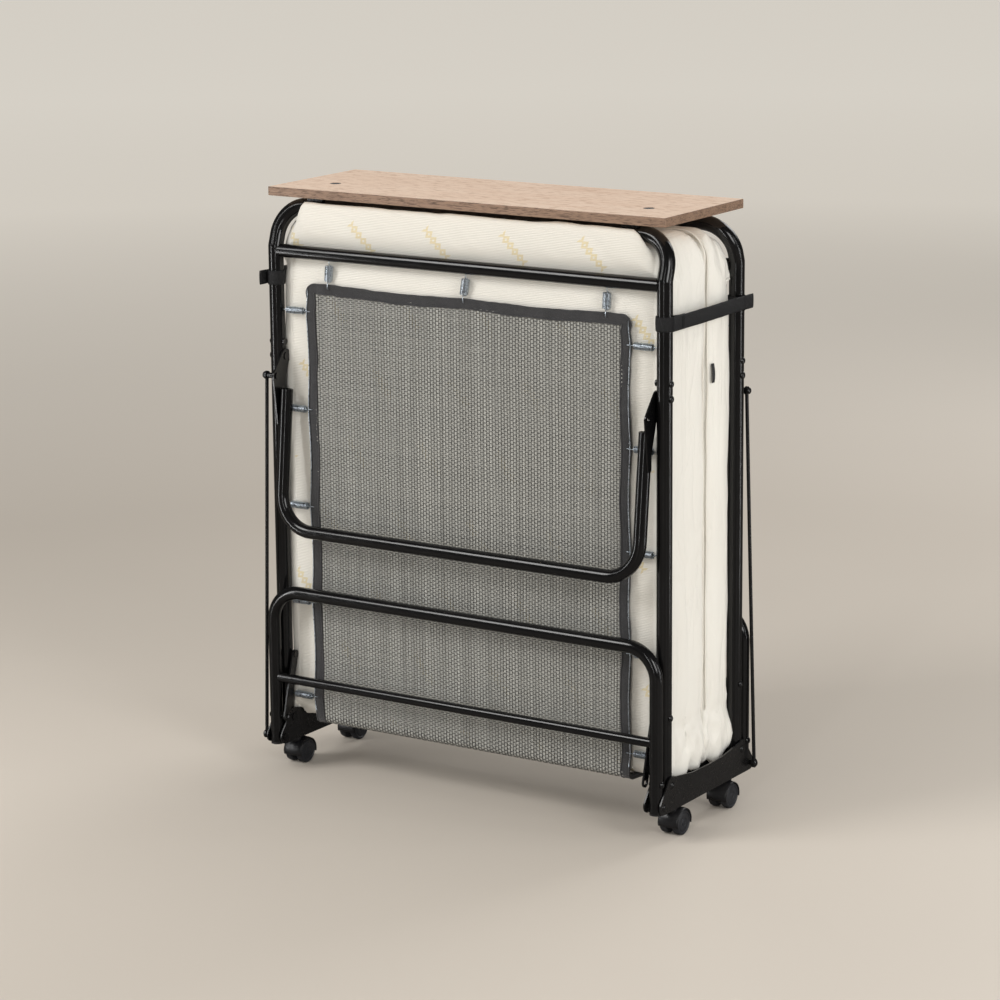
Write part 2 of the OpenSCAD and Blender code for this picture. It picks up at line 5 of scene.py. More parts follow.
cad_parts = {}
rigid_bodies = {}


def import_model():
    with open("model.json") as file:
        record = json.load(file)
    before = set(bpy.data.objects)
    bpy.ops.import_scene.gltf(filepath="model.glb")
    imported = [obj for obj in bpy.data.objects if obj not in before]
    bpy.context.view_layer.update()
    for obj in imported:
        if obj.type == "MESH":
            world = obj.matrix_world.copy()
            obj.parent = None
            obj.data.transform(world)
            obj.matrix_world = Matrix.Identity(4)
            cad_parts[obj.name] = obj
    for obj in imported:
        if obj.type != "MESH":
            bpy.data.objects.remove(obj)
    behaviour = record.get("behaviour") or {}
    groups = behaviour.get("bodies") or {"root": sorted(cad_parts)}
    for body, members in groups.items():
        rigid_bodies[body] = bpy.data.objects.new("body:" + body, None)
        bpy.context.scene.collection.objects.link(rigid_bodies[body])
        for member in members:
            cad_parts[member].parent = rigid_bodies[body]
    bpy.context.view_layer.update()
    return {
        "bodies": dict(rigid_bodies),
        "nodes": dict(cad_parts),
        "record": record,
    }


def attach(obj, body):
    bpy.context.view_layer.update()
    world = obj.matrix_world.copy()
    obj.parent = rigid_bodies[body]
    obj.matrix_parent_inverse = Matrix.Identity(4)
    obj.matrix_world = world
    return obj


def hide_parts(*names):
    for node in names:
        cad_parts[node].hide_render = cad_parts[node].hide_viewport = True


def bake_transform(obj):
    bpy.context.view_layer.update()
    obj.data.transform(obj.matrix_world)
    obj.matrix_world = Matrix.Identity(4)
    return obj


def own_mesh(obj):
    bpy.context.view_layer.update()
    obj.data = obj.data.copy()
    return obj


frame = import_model()
NODES = frame["nodes"]
RNG = np.random.RandomState(7)

# ------------------------------------------------------------------ helpers
def make(name, V, F, mat=None, smooth=True):
    me = bpy.data.meshes.new(name)
    me.from_pydata(np.asarray(V, float).tolist(), [], [tuple(int(i) for i in f) for f in F])
    me.update()
    if smooth:
        me.polygons.foreach_set("use_smooth", [True] * len(me.polygons))
    o = bpy.data.objects.new(name, me)
    bpy.context.scene.collection.objects.link(o)
    if mat is not None:
        for m in (mat if isinstance(mat, (list, tuple)) else [mat]):
            me.materials.append(m)
    return o

def keep_rest(o):
    """Stores each point's resting place, so a pattern stays put on fabric that bends."""
    co = np.zeros(len(o.data.vertices) * 3, np.float32)
    o.data.vertices.foreach_get("co", co)
    a = o.data.attributes.new("rest_co", "FLOAT_VECTOR", "POINT")
    a.data.foreach_set("vector", co)

def sweep(P, prof, closed=False, up=(0, 0, 1), cap=True, scale=None):
    """Sweeps a closed 2D profile (k,2) along points P (n,3)."""
    P = np.asarray(P, float); n = len(P); k = len(prof)
    T = np.gradient(P, axis=0)
    if closed:
        T = np.roll(P, -1, 0) - np.roll(P, 1, 0)
    T /= np.linalg.norm(T, axis=1)[:, None] + 1e-12
    N = np.zeros_like(P)
    v = np.array(up, float)
    v = v - T[0] * (v @ T[0])
    if np.linalg.norm(v) < 1e-6:
        v = np.array((1.0, 0.2, 0.1)); v -= T[0] * (v @ T[0])
    N[0] = v / np.linalg.norm(v)
    for i in range(1, n):
        v = N[i - 1] - T[i] * (N[i - 1] @ T[i]); N[i] = v / (np.linalg.norm(v) + 1e-12)
    B = np.cross(T, N)
    s = np.ones(n) if scale is None else scale
    prof = np.asarray(prof, float)
    V = (P[:, None] + s[:, None, None] * (N[:, None] * prof[None, :, :1] + B[:, None] * prof[None, :, 1:])).reshape(-1, 3)
    F = []
    for i in range(n if closed else n - 1):
        a, b = i * k, ((i + 1) % n) * k
        for j in range(k):
            j2 = (j + 1) % k
            F.append((a + j, b + j, b + j2, a + j2)[::-1])
    if cap and not closed:
        F.append(tuple(range(k))); F.append(tuple(range((n - 1) * k, n * k))[::-1])
    return V, F

def circ(r, k=8, ph=0.0):
    t = np.linspace(0, 2 * np.pi, k, endpoint=False) + ph
    return np.c_[r * np.cos(t), r * np.sin(t)]

def join(parts):
    V, F, o = [], [], 0
    for v, f in parts:
        V.append(v); F += [tuple(i + o for i in q) for q in f]; o += len(v)
    return np.vstack(V), F

def mirror_y(V, F):
    W = np.array(V, float); W[:, 1] *= -1
    return W, [tuple(f)[::-1] for f in F]

def noise2(shape, cells, seed):
    """Smooth value noise on a grid, about -1 to 1."""
    r = np.random.RandomState(seed)
    g = r.uniform(-1, 1, (cells[0] + 3, cells[1] + 3))
    x = np.linspace(0, cells[0], shape[0]); y = np.linspace(0, cells[1], shape[1])
    xi, yi = np.floor(x).astype(int), np.floor(y).astype(int)
    fx, fy = x - xi, y - yi
    fx, fy = fx * fx * (3 - 2 * fx), fy * fy * (3 - 2 * fy)
    a = g[np.ix_(xi, yi)]; b = g[np.ix_(xi + 1, yi)]; c = g[np.ix_(xi, yi + 1)]; d = g[np.ix_(xi + 1, yi + 1)]
    return (a * (1 - fx)[:, None] + b * fx[:, None]) * (1 - fy)[None] + (c * (1 - fx)[:, None] + d * fx[:, None]) * fy[None]

def n1(x, f, seed):
    """Smooth 1D noise of a coordinate."""
    r = np.random.RandomState(seed)
    g = r.uniform(-1, 1, 4096)
    u = np.asarray(x) * f + 500.0
    i = np.floor(u).astype(int); t = u - i; t = t * t * (3 - 2 * t)
    return g[i % 4096] * (1 - t) + g[(i + 1) % 4096] * t

def sstep(x, a, b):
    t = np.clip((np.asarray(x, float) - a) / (b - a), 0, 1)
    return t * t * (3 - 2 * t)

# ------------------------------------------------------------------ materials
class M:
    def __init__(self, name, rest=False):
        self.m = bpy.data.materials.new(name); self.m.use_nodes = True
        self.t = self.m.node_tree; self.t.nodes.clear()
        self.out = self.n("ShaderNodeOutputMaterial"); self.b = self.n("ShaderNodeBsdfPrincipled")
        self.l(self.b.outputs[0], self.out.inputs[0])
        if rest:
            a = self.n("ShaderNodeAttribute"); a.attribute_name = "rest_co"; self.co = a.outputs["Vector"]
        else:
            a = self.n("ShaderNodeTexCoord"); self.co = a.outputs["Object"]
    def n(self, kind, **kw):
        x = self.t.nodes.new(kind)
        for k, v in kw.items(): setattr(x, k, v)
        return x
    def l(self, a, b): self.t.links.new(a, b)
    def map(self, scale=(1, 1, 1), rot=(0, 0, 0), loc=(0, 0, 0)):
        x = self.n("ShaderNodeMapping"); x.inputs["Scale"].default_value = scale
        x.inputs["Rotation"].default_value = rot; x.inputs["Location"].default_value = loc
        self.l(self.co, x.inputs["Vector"]); return x.outputs[0]
    def noise(self, scale, detail=3, rough=0.5, vec=None, dist=0.0):
        x = self.n("ShaderNodeTexNoise"); x.inputs["Scale"].default_value = scale
        x.inputs["Detail"].default_value = detail; x.inputs["Roughness"].default_value = rough
        x.inputs["Distortion"].default_value = dist
        self.l(vec if vec is not None else self.co, x.inputs["Vector"]); return x.outputs["Fac"]
    def ramp(self, fac, stops):
        x = self.n("ShaderNodeValToRGB"); e = x.color_ramp.elements
        while len(e) < len(stops): e.new(0.5)
        for i, (p, c) in enumerate(stops):
            e[i].position = p; e[i].color = (c[0], c[1], c[2], 1) if isinstance(c, (tuple, list)) else (c, c, c, 1)
        self.l(fac, x.inputs[0]); return x.outputs["Color"]
    def mix(self, fac, a, b, mode="MIX"):
        x = self.n("ShaderNodeMix", data_type="RGBA", blend_type=mode)
        for s, v in ((x.inputs["Factor"], fac), (x.inputs["A"], a), (x.inputs["B"], b)): pass
        ins = [i for i in x.inputs if i.enabled]
        fi = [i for i in x.inputs if i.identifier == "Factor_Float"][0]
        ai = [i for i in x.inputs if i.identifier == "A_Color"][0]
        bi = [i for i in x.inputs if i.identifier == "B_Color"][0]
        for s, v in ((fi, fac), (ai, a), (bi, b)):
            if isinstance(v, (int, float)): s.default_value = v if s is fi else (v, v, v, 1)
            elif isinstance(v, (tuple, list)): s.default_value = (v[0], v[1], v[2], 1)
            else: self.l(v, s)
        return [o for o in x.outputs if o.identifier == "Result_Color"][0]
    def math(self, op, a, b=0.0, c=None, clamp=False):
        x = self.n("ShaderNodeMath", operation=op, use_clamp=clamp)
        for s, v in zip(x.inputs, (a, b, c)):
            if v is None: continue
            if isinstance(v, (int, float)): s.default_value = v
            else: self.l(v, s)
        return x.outputs[0]
    def xyz(self, v=None):
        x = self.n("ShaderNodeSeparateXYZ"); self.l(v if v is not None else self.co, x.inputs[0]); return x.outputs
    def bump(self, h, strength=0.3, dist=0.001, prev=None):
        x = self.n("ShaderNodeBump"); x.inputs["Strength"].default_value = strength
        x.inputs["Distance"].default_value = dist
        self.l(h, x.inputs["Height"])
        if prev is not None: self.l(prev, x.inputs["Normal"])
        return x.outputs[0]
    def set(self, **kw):
        for k, v in kw.items():
            s = self.b.inputs[k.replace("_", " ")]
            if isinstance(v, (int, float)): s.default_value = v
            elif isinstance(v, (tuple, list)): s.default_value = (v[0], v[1], v[2], 1) if len(v) == 3 else v
            else: self.l(v, s)
        return self.m

def gloss_black(name, base=0.010, lo=0.16, hi=0.30, peel=0.06):
    m = M(name)
    big = m.noise(9, 4, 0.6); fine = m.noise(420, 2, 0.5); dust = m.noise(60, 5, 0.7)
    scuff = m.ramp(m.noise(150, 3, 0.75, m.map((1, 1, 0.12))), [(0.0, 0.0), (0.70, 0.0), (0.80, 1.0)])
    col = m.mix(m.ramp(big, [(0.3, 0.0), (0.7, 1.0)]), (base, base, base * 1.08), (base * 1.9, base * 1.8, base * 1.9))
    col = m.mix(m.math("MULTIPLY", scuff, 0.10), col, (0.10, 0.10, 0.10))
    rough = m.ramp(dust, [(0.30, lo), (0.75, hi)])
    rough = m.math("ADD", rough, m.math("MULTIPLY", scuff, 0.10))
    nrm = m.bump(fine, peel, 0.0006)
    return m.set(Base_Color=col, Roughness=rough, Normal=nrm, Coat_Weight=0.0, Specular_IOR_Level=0.42)

MAT = {}
MAT["black_tube"] = gloss_black("black_tube", 0.0030, 0.11, 0.22)
MAT["black_plate"] = gloss_black("black_plate", 0.0045, 0.22, 0.36, 0.10)
MAT["black_rivet"] = gloss_black("black_rivet", 0.0035, 0.10, 0.22, 0.08)

def moulded(name, base, lo, hi, grain=0.25):
    m = M(name)
    fine = m.noise(1300, 2, 0.6); med = m.noise(38, 4, 0.6)
    col = m.mix(m.ramp(med, [(0.3, 0.0), (0.7, 1.0)]), base, tuple(c * 1.5 + 0.004 for c in base))
    dust = m.ramp(m.noise(24, 5, 0.72), [(0.48, 0.0), (0.74, 1.0)])
    col = m.mix(m.math("MULTIPLY", dust, 0.07), col, (0.16, 0.15, 0.14))
    rough = m.ramp(med, [(0.25, lo), (0.75, hi)])
    return m.set(Base_Color=col, Roughness=rough, Normal=m.bump(fine, grain, 0.0004), Specular_IOR_Level=0.36)
MAT["black_plastic"] = moulded("black_plastic", (0.006, 0.006, 0.0065), 0.34, 0.5)
MAT["caster_plastic"] = moulded("caster_plastic", (0.006, 0.006, 0.007), 0.24, 0.40, 0.18)
MAT["wheel_plastic"] = moulded("wheel_plastic", (0.014, 0.015, 0.018), 0.32, 0.50, 0.2)

def zinc():
    m = M("zinc_steel")
    sp = m.noise(260, 4, 0.65); big = m.noise(40, 3, 0.6)
    col = m.mix(m.ramp(sp, [(0.3, 0.0), (0.7, 1.0)]), (0.36, 0.41, 0.46), (0.74, 0.80, 0.86))
    col = m.mix(m.math("MULTIPLY", m.ramp(big, [(0.5, 0.0), (0.75, 1.0)]), 0.35), col, (0.14, 0.15, 0.17))
    return m.set(Base_Color=col, Metallic=0.92, Roughness=m.ramp(sp, [(0.3, 0.22), (0.7, 0.42)]), Normal=m.bump(sp, 0.15, 0.0003))
MAT["zinc_steel"] = zinc()

def deck_mesh(name, warp):
    m = M(name, rest=True)
    x, y, z = m.xyz()
    a = (x if warp else z)
    tone = m.noise(1.0, 2, 0.6, m.map((190, 190, 1.5) if warp else (1.5, 190, 190)))
    fib = m.noise(1.0, 3, 0.6, m.map((2600, 900, 160) if warp else (160, 900, 2600)))
    # painted light: the warp is lighter and the weft darker; this is partly the threads' own tones and partly a painted
    # highlight on the warp lying on top, with painted shade on the weft lying under it and in the gaps
    if warp: c1, c2 = (0.235, 0.235, 0.218), (0.42, 0.42, 0.39)
    else: c1, c2 = (0.055, 0.055, 0.054), (0.115, 0.115, 0.110)
    col = m.mix(m.ramp(tone, [(0.32, 0.0), (0.68, 1.0)]), c1, c2)
    col = m.mix(m.math("MULTIPLY", fib, 0.22 if warp else 0.10), col, (0.46, 0.46, 0.43))
    return m.set(Base_Color=col, Roughness=m.ramp(fib, [(0.3, 0.55), (0.7, 0.8)]), Normal=m.bump(fib, 0.5, 0.0004), Specular_IOR_Level=0.35)
MAT["mesh_warp"] = deck_mesh("mesh_warp", True)
MAT["mesh_weft"] = deck_mesh("mesh_weft", False)

def binding():
    m = M("binding_fabric", rest=True)
    x, y, z = m.xyz()
    wv = m.math("MULTIPLY", m.math("SINE", m.math("MULTIPLY", x, 4200.0)), m.math("SINE", m.math("MULTIPLY", z, 4200.0)))
    sp = m.noise(950, 3, 0.7); big = m.noise(55, 4, 0.65); rub = m.noise(210, 4, 0.7)
    col = m.mix(m.ramp(big, [(0.3, 0.0), (0.7, 1.0)]), (0.014, 0.014, 0.016), (0.030, 0.0295, 0.032))
    col = m.mix(m.math("MULTIPLY", m.ramp(sp, [(0.45, 0.0), (0.75, 1.0)]), 0.40), col, (0.075, 0.075, 0.079))
    col = m.mix(m.math("MULTIPLY", m.ramp(rub, [(0.60, 0.0), (0.78, 1.0)]), 0.4), col, (0.12, 0.12, 0.125))
    h = m.math("ADD", m.math("MULTIPLY", wv, 0.5), sp)
    return m.set(Base_Color=col, Roughness=m.ramp(sp, [(0.3, 0.72), (0.7, 0.95)]), Normal=m.bump(h, 0.7, 0.0006), Sheen_Weight=0.25)
MAT["binding_fabric"] = binding()

def webbing():
    m = M("webbing", rest=True)
    x, y, z = m.xyz()
    tw = m.math("SINE", m.math("MULTIPLY", m.math("ADD", m.math("ADD", x, y), z), 3300.0))
    rows = m.math("SINE", m.math("MULTIPLY", z, 2600.0))
    sp = m.noise(700, 3, 0.7)
    col = m.mix(m.ramp(sp, [(0.35, 0.0), (0.75, 1.0)]), (0.006, 0.006, 0.0065), (0.026, 0.026, 0.028))
    h = m.math("ADD", m.math("MULTIPLY", tw, 0.5), m.math("MULTIPLY", rows, 0.6))
    return m.set(Base_Color=col, Roughness=m.ramp(sp, [(0.3, 0.55), (0.7, 0.8)]), Normal=m.bump(h, 0.55, 0.0005), Specular_IOR_Level=0.3)
MAT["webbing"] = webbing()

def ticking():
    m = M("mattress_fabric", rest=True)
    x, y, z = m.xyz()
    # ribs along the width, about 2.6 mm apart, wandering a little
    wob = m.noise(1.0, 2, 0.5, m.map((14, 14, 40)))
    zz = m.math("ADD", z, m.math("MULTIPLY", wob, 0.0012))
    # across the folded top the ribs follow y
    rib = m.math("SINE", m.math("MULTIPLY", zz, 2 * math.pi / 0.0027))
    ribf = m.math("SINE", m.math("MULTIPLY", m.math("ADD", zz, y), 2 * math.pi / 0.0027))
    geo = m.n("ShaderNodeNewGeometry")
    att = m.n("ShaderNodeAttribute"); att.attribute_name = "panel"   # 1 on the printed panel, 0 on the plain border
    panel = att.outputs["Fac"]
    fine = m.noise(1.0, 3, 0.6, m.map((1500, 1500, 2600)))
    slub = m.noise(1.0, 2, 0.6, m.map((26, 60, 900)))
    base = m.mix(panel, (0.815, 0.80, 0.745), (0.775, 0.755, 0.695))
    stain = m.noise(5.5, 4, 0.6)
    base = m.mix(m.math("MULTIPLY", m.ramp(stain, [(0.35, 0.0), (0.75, 1.0)]), 0.30), base, (0.755, 0.725, 0.66))
    valley = m.ramp(rib, [(0.0, 0.86), (0.55, 1.0)])
    # painted shade: the printed panel is darkened in the valleys between the ribs
    rib_valley_painted_shade = m.math("MULTIPLY", panel, m.math("MULTIPLY", m.math("SUBTRACT", 1.0, m.math("MULTIPLY_ADD", rib, 0.5, 0.5)), 0.16))
    base = m.mix(rib_valley_painted_shade, base, (0.52, 0.48, 0.41))
    base = m.mix(m.math("MULTIPLY", slub, 0.10), base, (0.90, 0.88, 0.82))
    # woven gold sprigs: short rows of lozenges set on the slant, a plain repeat
    s, c = math.sin(math.radians(-52)), math.cos(math.radians(-52))
    u = m.math("ADD", m.math("MULTIPLY", x, c), m.math("MULTIPLY", z, s))
    v = m.math("SUBTRACT", m.math("MULTIPLY", z, c), m.math("MULTIPLY", x, s))
    row = m.math("FLOOR", m.math("DIVIDE", v, 0.118))
    uu = m.math("ADD", u, m.math("MULTIPLY", row, 0.061))
    pu = m.math("SUBTRACT", m.math("FRACT", m.math("DIVIDE", uu, 0.150)), 0.5)
    pv = m.math("SUBTRACT", m.math("FRACT", m.math("DIVIDE", v, 0.118)), 0.5)
    inu = m.math("LESS_THAN", m.math("ABSOLUTE", pu), 0.20)
    k = m.math("SUBTRACT", m.math("FRACT", m.math("MULTIPLY", pu, 12.5)), 0.5)
    loz = m.math("LESS_THAN", m.math("ADD", m.math("MULTIPLY", m.math("ABSOLUTE", k), 0.14), m.math("ABSOLUTE", pv)), 0.080)
    core = m.math("GREATER_THAN", m.math("ADD", m.math("MULTIPLY", m.math("ABSOLUTE", k), 0.14), m.math("ABSOLUTE", pv)), 0.024)
    gold = m.math("MULTIPLY", m.math("MULTIPLY", inu, m.math("MULTIPLY", loz, core)), panel)
    gold = m.math("MULTIPLY", gold, m.math("MULTIPLY_ADD", fine, 0.5, 0.36))
    base = m.mix(gold, base, (0.70, 0.57, 0.27))
    h = m.math("ADD", m.math("MULTIPLY", m.math("MULTIPLY", rib, panel), 0.5), m.math("MULTIPLY", fine, 0.35))
    nrm = m.bump(h, 0.55, 0.0006)
    crease = m.noise(1.0, 4, 0.55, m.map((9, 26, 5)), 0.6)
    nrm = m.bump(crease, 0.22, 0.006, nrm)
    # fine sharp creases, mostly upright, on the plain border
    border = m.math("SUBTRACT", 1.0, m.math("MULTIPLY", panel, 0.86))
    for sc_, amt in (((4, 22, 2.6), 0.0030), ((7, 15, 7.5), 0.0022)):
        cn = m.noise(1.0, 2, 0.5, m.map(sc_), 0.9)
        rid = m.ramp(m.math("ABSOLUTE", m.math("SUBTRACT", cn, 0.5)), [(0.0, 0.0), (0.05, 0.7), (0.14, 1.0)])
        nrm = m.bump(m.math("MULTIPLY", rid, border), 0.34, amt, nrm)
    return m.set(Base_Color=base, Roughness=m.ramp(fine, [(0.3, 0.70), (0.7, 0.92)]), Normal=nrm, Sheen_Weight=0.25, Subsurface_Weight=0.0)
MAT["mattress_fabric"] = ticking()

def piping():
    m = M("mattress_piping", rest=True)
    sp = m.noise(1400, 3, 0.6)
    tw = m.noise(1.0, 2, 0.5, m.map((300, 300, 900)))
    col = m.mix(sp, (0.74, 0.71, 0.64), (0.84, 0.81, 0.75))
    return m.set(Base_Color=col, Roughness=m.ramp(sp, [(0.3, 0.72), (0.7, 0.9)]), Normal=m.bump(tw, 0.6, 0.0005), Sheen_Weight=0.2)
MAT["piping"] = piping()

def wood(edge=False):
    m = M("oak_board_edge" if edge else "oak_board")
    v = m.map((2.6, 34, 34) if not edge else (5.0, 60, 260))
    ring = m.noise(1.0, 5, 0.55, v, 1.3)
    pore = m.noise(1.0, 3, 0.65, m.map((45, 200, 200) if not edge else (70, 300, 900)))
    fleck = m.noise(1.0, 2, 0.5, m.map((60, 340, 340)))
    broad = m.noise(1.0, 2, 0.5, m.map((0.9, 5, 5)))
    if edge:
        c1, c2, c3 = (0.17, 0.105, 0.068), (0.30, 0.195, 0.135), (0.060, 0.034, 0.022)
    else:
        c1, c2, c3 = (0.87, 0.64, 0.49), (0.97, 0.765, 0.615), (0.54, 0.35, 0.24)
    col = m.mix(m.ramp(ring, [(0.30, 0.0), (0.50, 0.75), (0.72, 1.0)]), c1, c2)
    col = m.mix(m.math("MULTIPLY", m.ramp(broad, [(0.35, 0.0), (0.7, 1.0)]), 0.30), col, tuple(x * 1.10 for x in c2))
    col = m.mix(m.math("MULTIPLY", m.ramp(pore, [(0.50, 0.0), (0.64, 1.0)]), 0.62 if not edge else 0.85), col, c3)
    col = m.mix(m.math("MULTIPLY", m.ramp(fleck, [(0.62, 0.0), (0.78, 1.0)]), 0.25), col, tuple(x * 1.2 for x in c2))
    return m.set(Base_Color=col, Roughness=m.ramp(pore, [(0.3, 0.36), (0.7, 0.56)]), Normal=m.bump(m.math("ADD", pore, m.math("MULTIPLY", ring, 0.4)), 0.22, 0.0006), Specular_IOR_Level=0.4)
MAT["oak_board"] = wood(); MAT["oak_edge"] = wood(True)

def label_mat():
    m = M("label_cloth", rest=True)
    sp = m.noise(1600, 3, 0.6)
    return m.set(Base_Color=m.mix(sp, (0.010, 0.010, 0.011), (0.035, 0.035, 0.036)), Roughness=m.ramp(sp, [(0.3, 0.5), (0.7, 0.75)]), Normal=m.bump(sp, 0.4, 0.0003))
MAT["label"] = label_mat()

# CAD nodes kept as they are take their material by slot
slot_of = {s["node"]: s["material_slot"] for s in frame["record"]["subparts"]}
for n, o in NODES.items():
    s = slot_of.get(n, "black_tube")
    if s == "mesh_fabric": s = "mesh_warp"
    mt = MAT.get(s, MAT["black_tube"])
    if len(o.data.materials) == 0:
        o.data.materials.append(mt)
    for sl in o.material_slots:
        sl.material = mt

mm = 0.001
HX, HY = 374.0, 115.0
LEAN = math.tan(math.radians(18))

def main_line(zt):
    """Centre line of one front main tube from foot to foot, in mm."""
    R, S = 52.0, (zt - 906) / math.cos(math.radians(18))
    def lean(x, s): return (x, -HY + s * math.sin(math.radians(18)), 906 + s * math.cos(math.radians(18)))
    P = [(HX, -HY, z) for z in np.arange(80, 906, 6)]
    P += [lean(HX, s) for s in np.arange(0, S - R, 4)]
    P += [lean(HX - R + R * math.cos(a), S - R + R * math.sin(a)) for a in np.linspace(0, math.pi / 2, 20)]
    P += [lean(x, S) for x in np.arange(HX - R, 0, -6)]
    P = np.array(P); Q = P.copy(); Q[:, 0] *= -1
    return np.vstack([P, Q[::-1]])

# ------------------------------------------------------------------ mattress
SEAM = 13.0          # where the halves meet, mm to the rear of the middle
W0 = 368.0           # half width of the pad

def seg(a, b, n):
    t = np.linspace(0, 1, n, endpoint=False)[:, None]
    return np.array(a, float) * (1 - t) + np.array(b, float) * t

def chain(pts, counts):
    return np.vstack([seg(pts[i], pts[(i + 1) % len(pts)], counts[i]) for i in range(len(pts))])

def pad_profiles(ys, ztop, front):
    """Closed (y, z) outlines: with the lip that rises in front of the top bar, and without it."""
    A = [(ys, 93), (ys, 163), (ys - 2, 176), (ys - 2, 520), (ys - 2, 880)]
    cA = [9, 2, 43, 45]
    arc = [(ys - 32 + 30 * math.cos(a), 923 + (ztop - 923) * math.sin(a)) for a in np.linspace(0, math.pi / 2, 6)]
    pts = A + arc; c = cA + [3, 2, 2, 2, 2, 2]
    tail_lip = [(-60, ztop + 1), (-80, ztop + 1), (-92, ztop + 1.5), (-104, ztop + 4), (-106, 972), (-108.5, 984), (-113, 983), (-115.5, 970), (-116, 950), (-113.5, 932), (-108, 919), (-103.2, 908), (-102.8, 900), (-103.2, 890), (-107.5, 876), (-110.5, 860)]
    tail_flat = [(-60, ztop + 3), (-78, ztop + 3), (-88, ztop + 1), (-95, ztop - 4), (-99, ztop - 10), (-102, ztop - 17), (-103.8, ztop - 24), (-104.5, ztop - 30), (-105, ztop - 34), (-105, ztop - 38), (-104, 913), (-103.2, 908), (-102.8, 900), (-103.2, 890), (-106.5, 876), (-109, 860)]
    ct = [6, 3, 2, 2, 2, 2, 2, 1, 2, 3, 3, 2, 2, 1, 2, 2]
    low = [(-111, 600), (-110.5, 300), (-109, 165)]
    cl = [33, 38, 17]
    cor = [(-80 - 27 * math.cos(a), 119 - 27 * math.sin(a)) for a in np.linspace(0, math.pi / 2, 8)]
    cc = [3] + [1] * 6 + [1]
    def build(tail):
        p = pts + tail + low + cor
        cnt = c + [4 if i == 0 else 0 for i in ()]
        counts = c + [5] + ct[:-1] + [33] + [38, 17] + [4] + [2] * 7 + [10]
        assert len(counts) == len(p), (len(counts), len(p))
        P = chain(p, counts)
        for _ in range(2):
            P = 0.25 * np.roll(P, 1, 0) + 0.5 * P + 0.25 * np.roll(P, -1, 0)
        return P
    return build(tail_lip if front else tail_flat), build(tail_flat)

def inset(P, e):
    T = np.roll(P, -1, 0) - np.roll(P, 1, 0)
    T = T / (np.linalg.norm(T, axis=1)[:, None] + 1e-9)
    N = np.c_[-T[:, 1], T[:, 0]]
    area = 0.5 * np.sum(P[:, 0] * np.roll(P[:, 1], -1) - np.roll(P[:, 0], -1) * P[:, 1])
    if area < 0: N = -N
    return P + N * e

def build_pad(front):
    ys = SEAM if front else -SEAM
    ztop = 955.0 if front else 949.0
    PL, PF = pad_profiles(ys, ztop, front)
    n = len(PL); re = 20.0
    xs = np.linspace(0, 1, 44)
    half = list((W0 - re) * xs)
    stations = [(x, 0.0, 0.0) for x in half]
    for a in np.linspace(0, math.pi / 2, 7)[1:]:
        stations.append((W0 - re + re * math.sin(a), re * (1 - math.cos(a)), 0.0))
    for t in (0.12, 0.26, 0.42, 0.58, 0.74, 0.88, 1.0):
        stations.append((W0, re, t))
    full = [(-x, e, t) for x, e, t in stations[::-1]] + stations[1:]
    rings = []
    for x, e, t in full:
        ax = abs(x)
        lip = 1 - sstep(ax, 314, 354)
        P = PF * (1 - lip) + PL * lip
        # outer face: pressed flat behind the deck, lower past its edge where the springs run
        y, z = P[:, 0].copy(), P[:, 1].copy()
        outer = sstep(-y, 60, 100)
        edge = sstep(ax, 285, 318)
        y += outer * edge * 3.6 * sstep(920 - z, 0, 40)
        # the seam swings to the rear at the sides
        z += 16.0 * sstep(z, 905, 945) * sstep(y, -78, -50)
        inner = sstep(y if True else y, ys - 40, ys - 3)
        sgn = 1 if front else -1
        y += inner * sgn * 12.0 * sstep(ax, 240, 350) * sstep(z, 80, 200)
        R = 42.0
        if ax > W0 - R:
            drop = R - math.sqrt(max(R * R - (ax - (W0 - R)) ** 2, 0))
            z -= drop * sstep(z, 800, ztop + 4)
        P = np.c_[y, z]
        ef = 0.20 + 0.50 * sstep(P[:, 0], -96, -58) - 0.36 * sstep(P[:, 0], -22, ys - 6)
        ef = ef * (0.35 + 0.65 * sstep(P[:, 1], 105, 150))
        P = inset(P, e * ef[:, None])
        Wz = -10.5 * (1 - sstep(P[:, 1], 100, 122))
        xx = np.full(n, float(ax)) + Wz * sstep(ax, 250, 345) * (1 - sstep(t, 0.0, 0.2))
        if t > 0:
            top = P[:, 1].max(); yc = 0.5 * (P[:, 0].min() + P[:, 0].max())
            spz = np.clip(P[:, 1], 140, top - 34)
            spy = np.full(n, yc)
            P = P * (1 - t) + np.c_[spy, spz] * t
            xx = xx + 4.2 * (1 - (1 - t) ** 2)
        rings.append(np.c_[np.sign(x) * xx if x != 0 else 0 * xx, P])
    V = np.vstack(rings); m = len(full)
    F = []
    for i in range(m - 1):
        a, b = i * n, (i + 1) * n
        for j in range(n):
            j2 = (j + 1) % n
            F.append((a + j, a + j2, b + j2, b + j))
    return V, F, n, m

def tube_push(V, line, r, pad=0.0):
    """Moves points that lie inside a tube of radius r out to its surface."""
    lo, hi = line.min(0) - r - 3, line.max(0) + r + 3
    near = np.where(((V > lo) & (V < hi)).all(1))[0]
    for k in range(0, len(near), 4000):
        idx = near[k:k + 4000]
        d = V[idx][:, None] - line[None]
        q = (d ** 2).sum(2); j = q.argmin(1); dist = np.sqrt(q[np.arange(len(idx)), j])
        hit = dist < r
        if hit.any():
            dv = d[np.arange(len(idx)), j][hit]
            V[idx[hit]] += dv / (dist[hit][:, None] + 1e-9) * (r - dist[hit])[:, None]
    return V

def vnormals(V, F):
    Q = np.array(F)
    nrm = np.cross(V[Q[:, 2]] - V[Q[:, 0]], V[Q[:, 3]] - V[Q[:, 1]])
    N = np.zeros_like(V)
    for k in range(4): np.add.at(N, Q[:, k], nrm)
    return N / (np.linalg.norm(N, axis=1)[:, None] + 1e-9)

def ridge(u):
    return 1 - np.abs(u) * 2

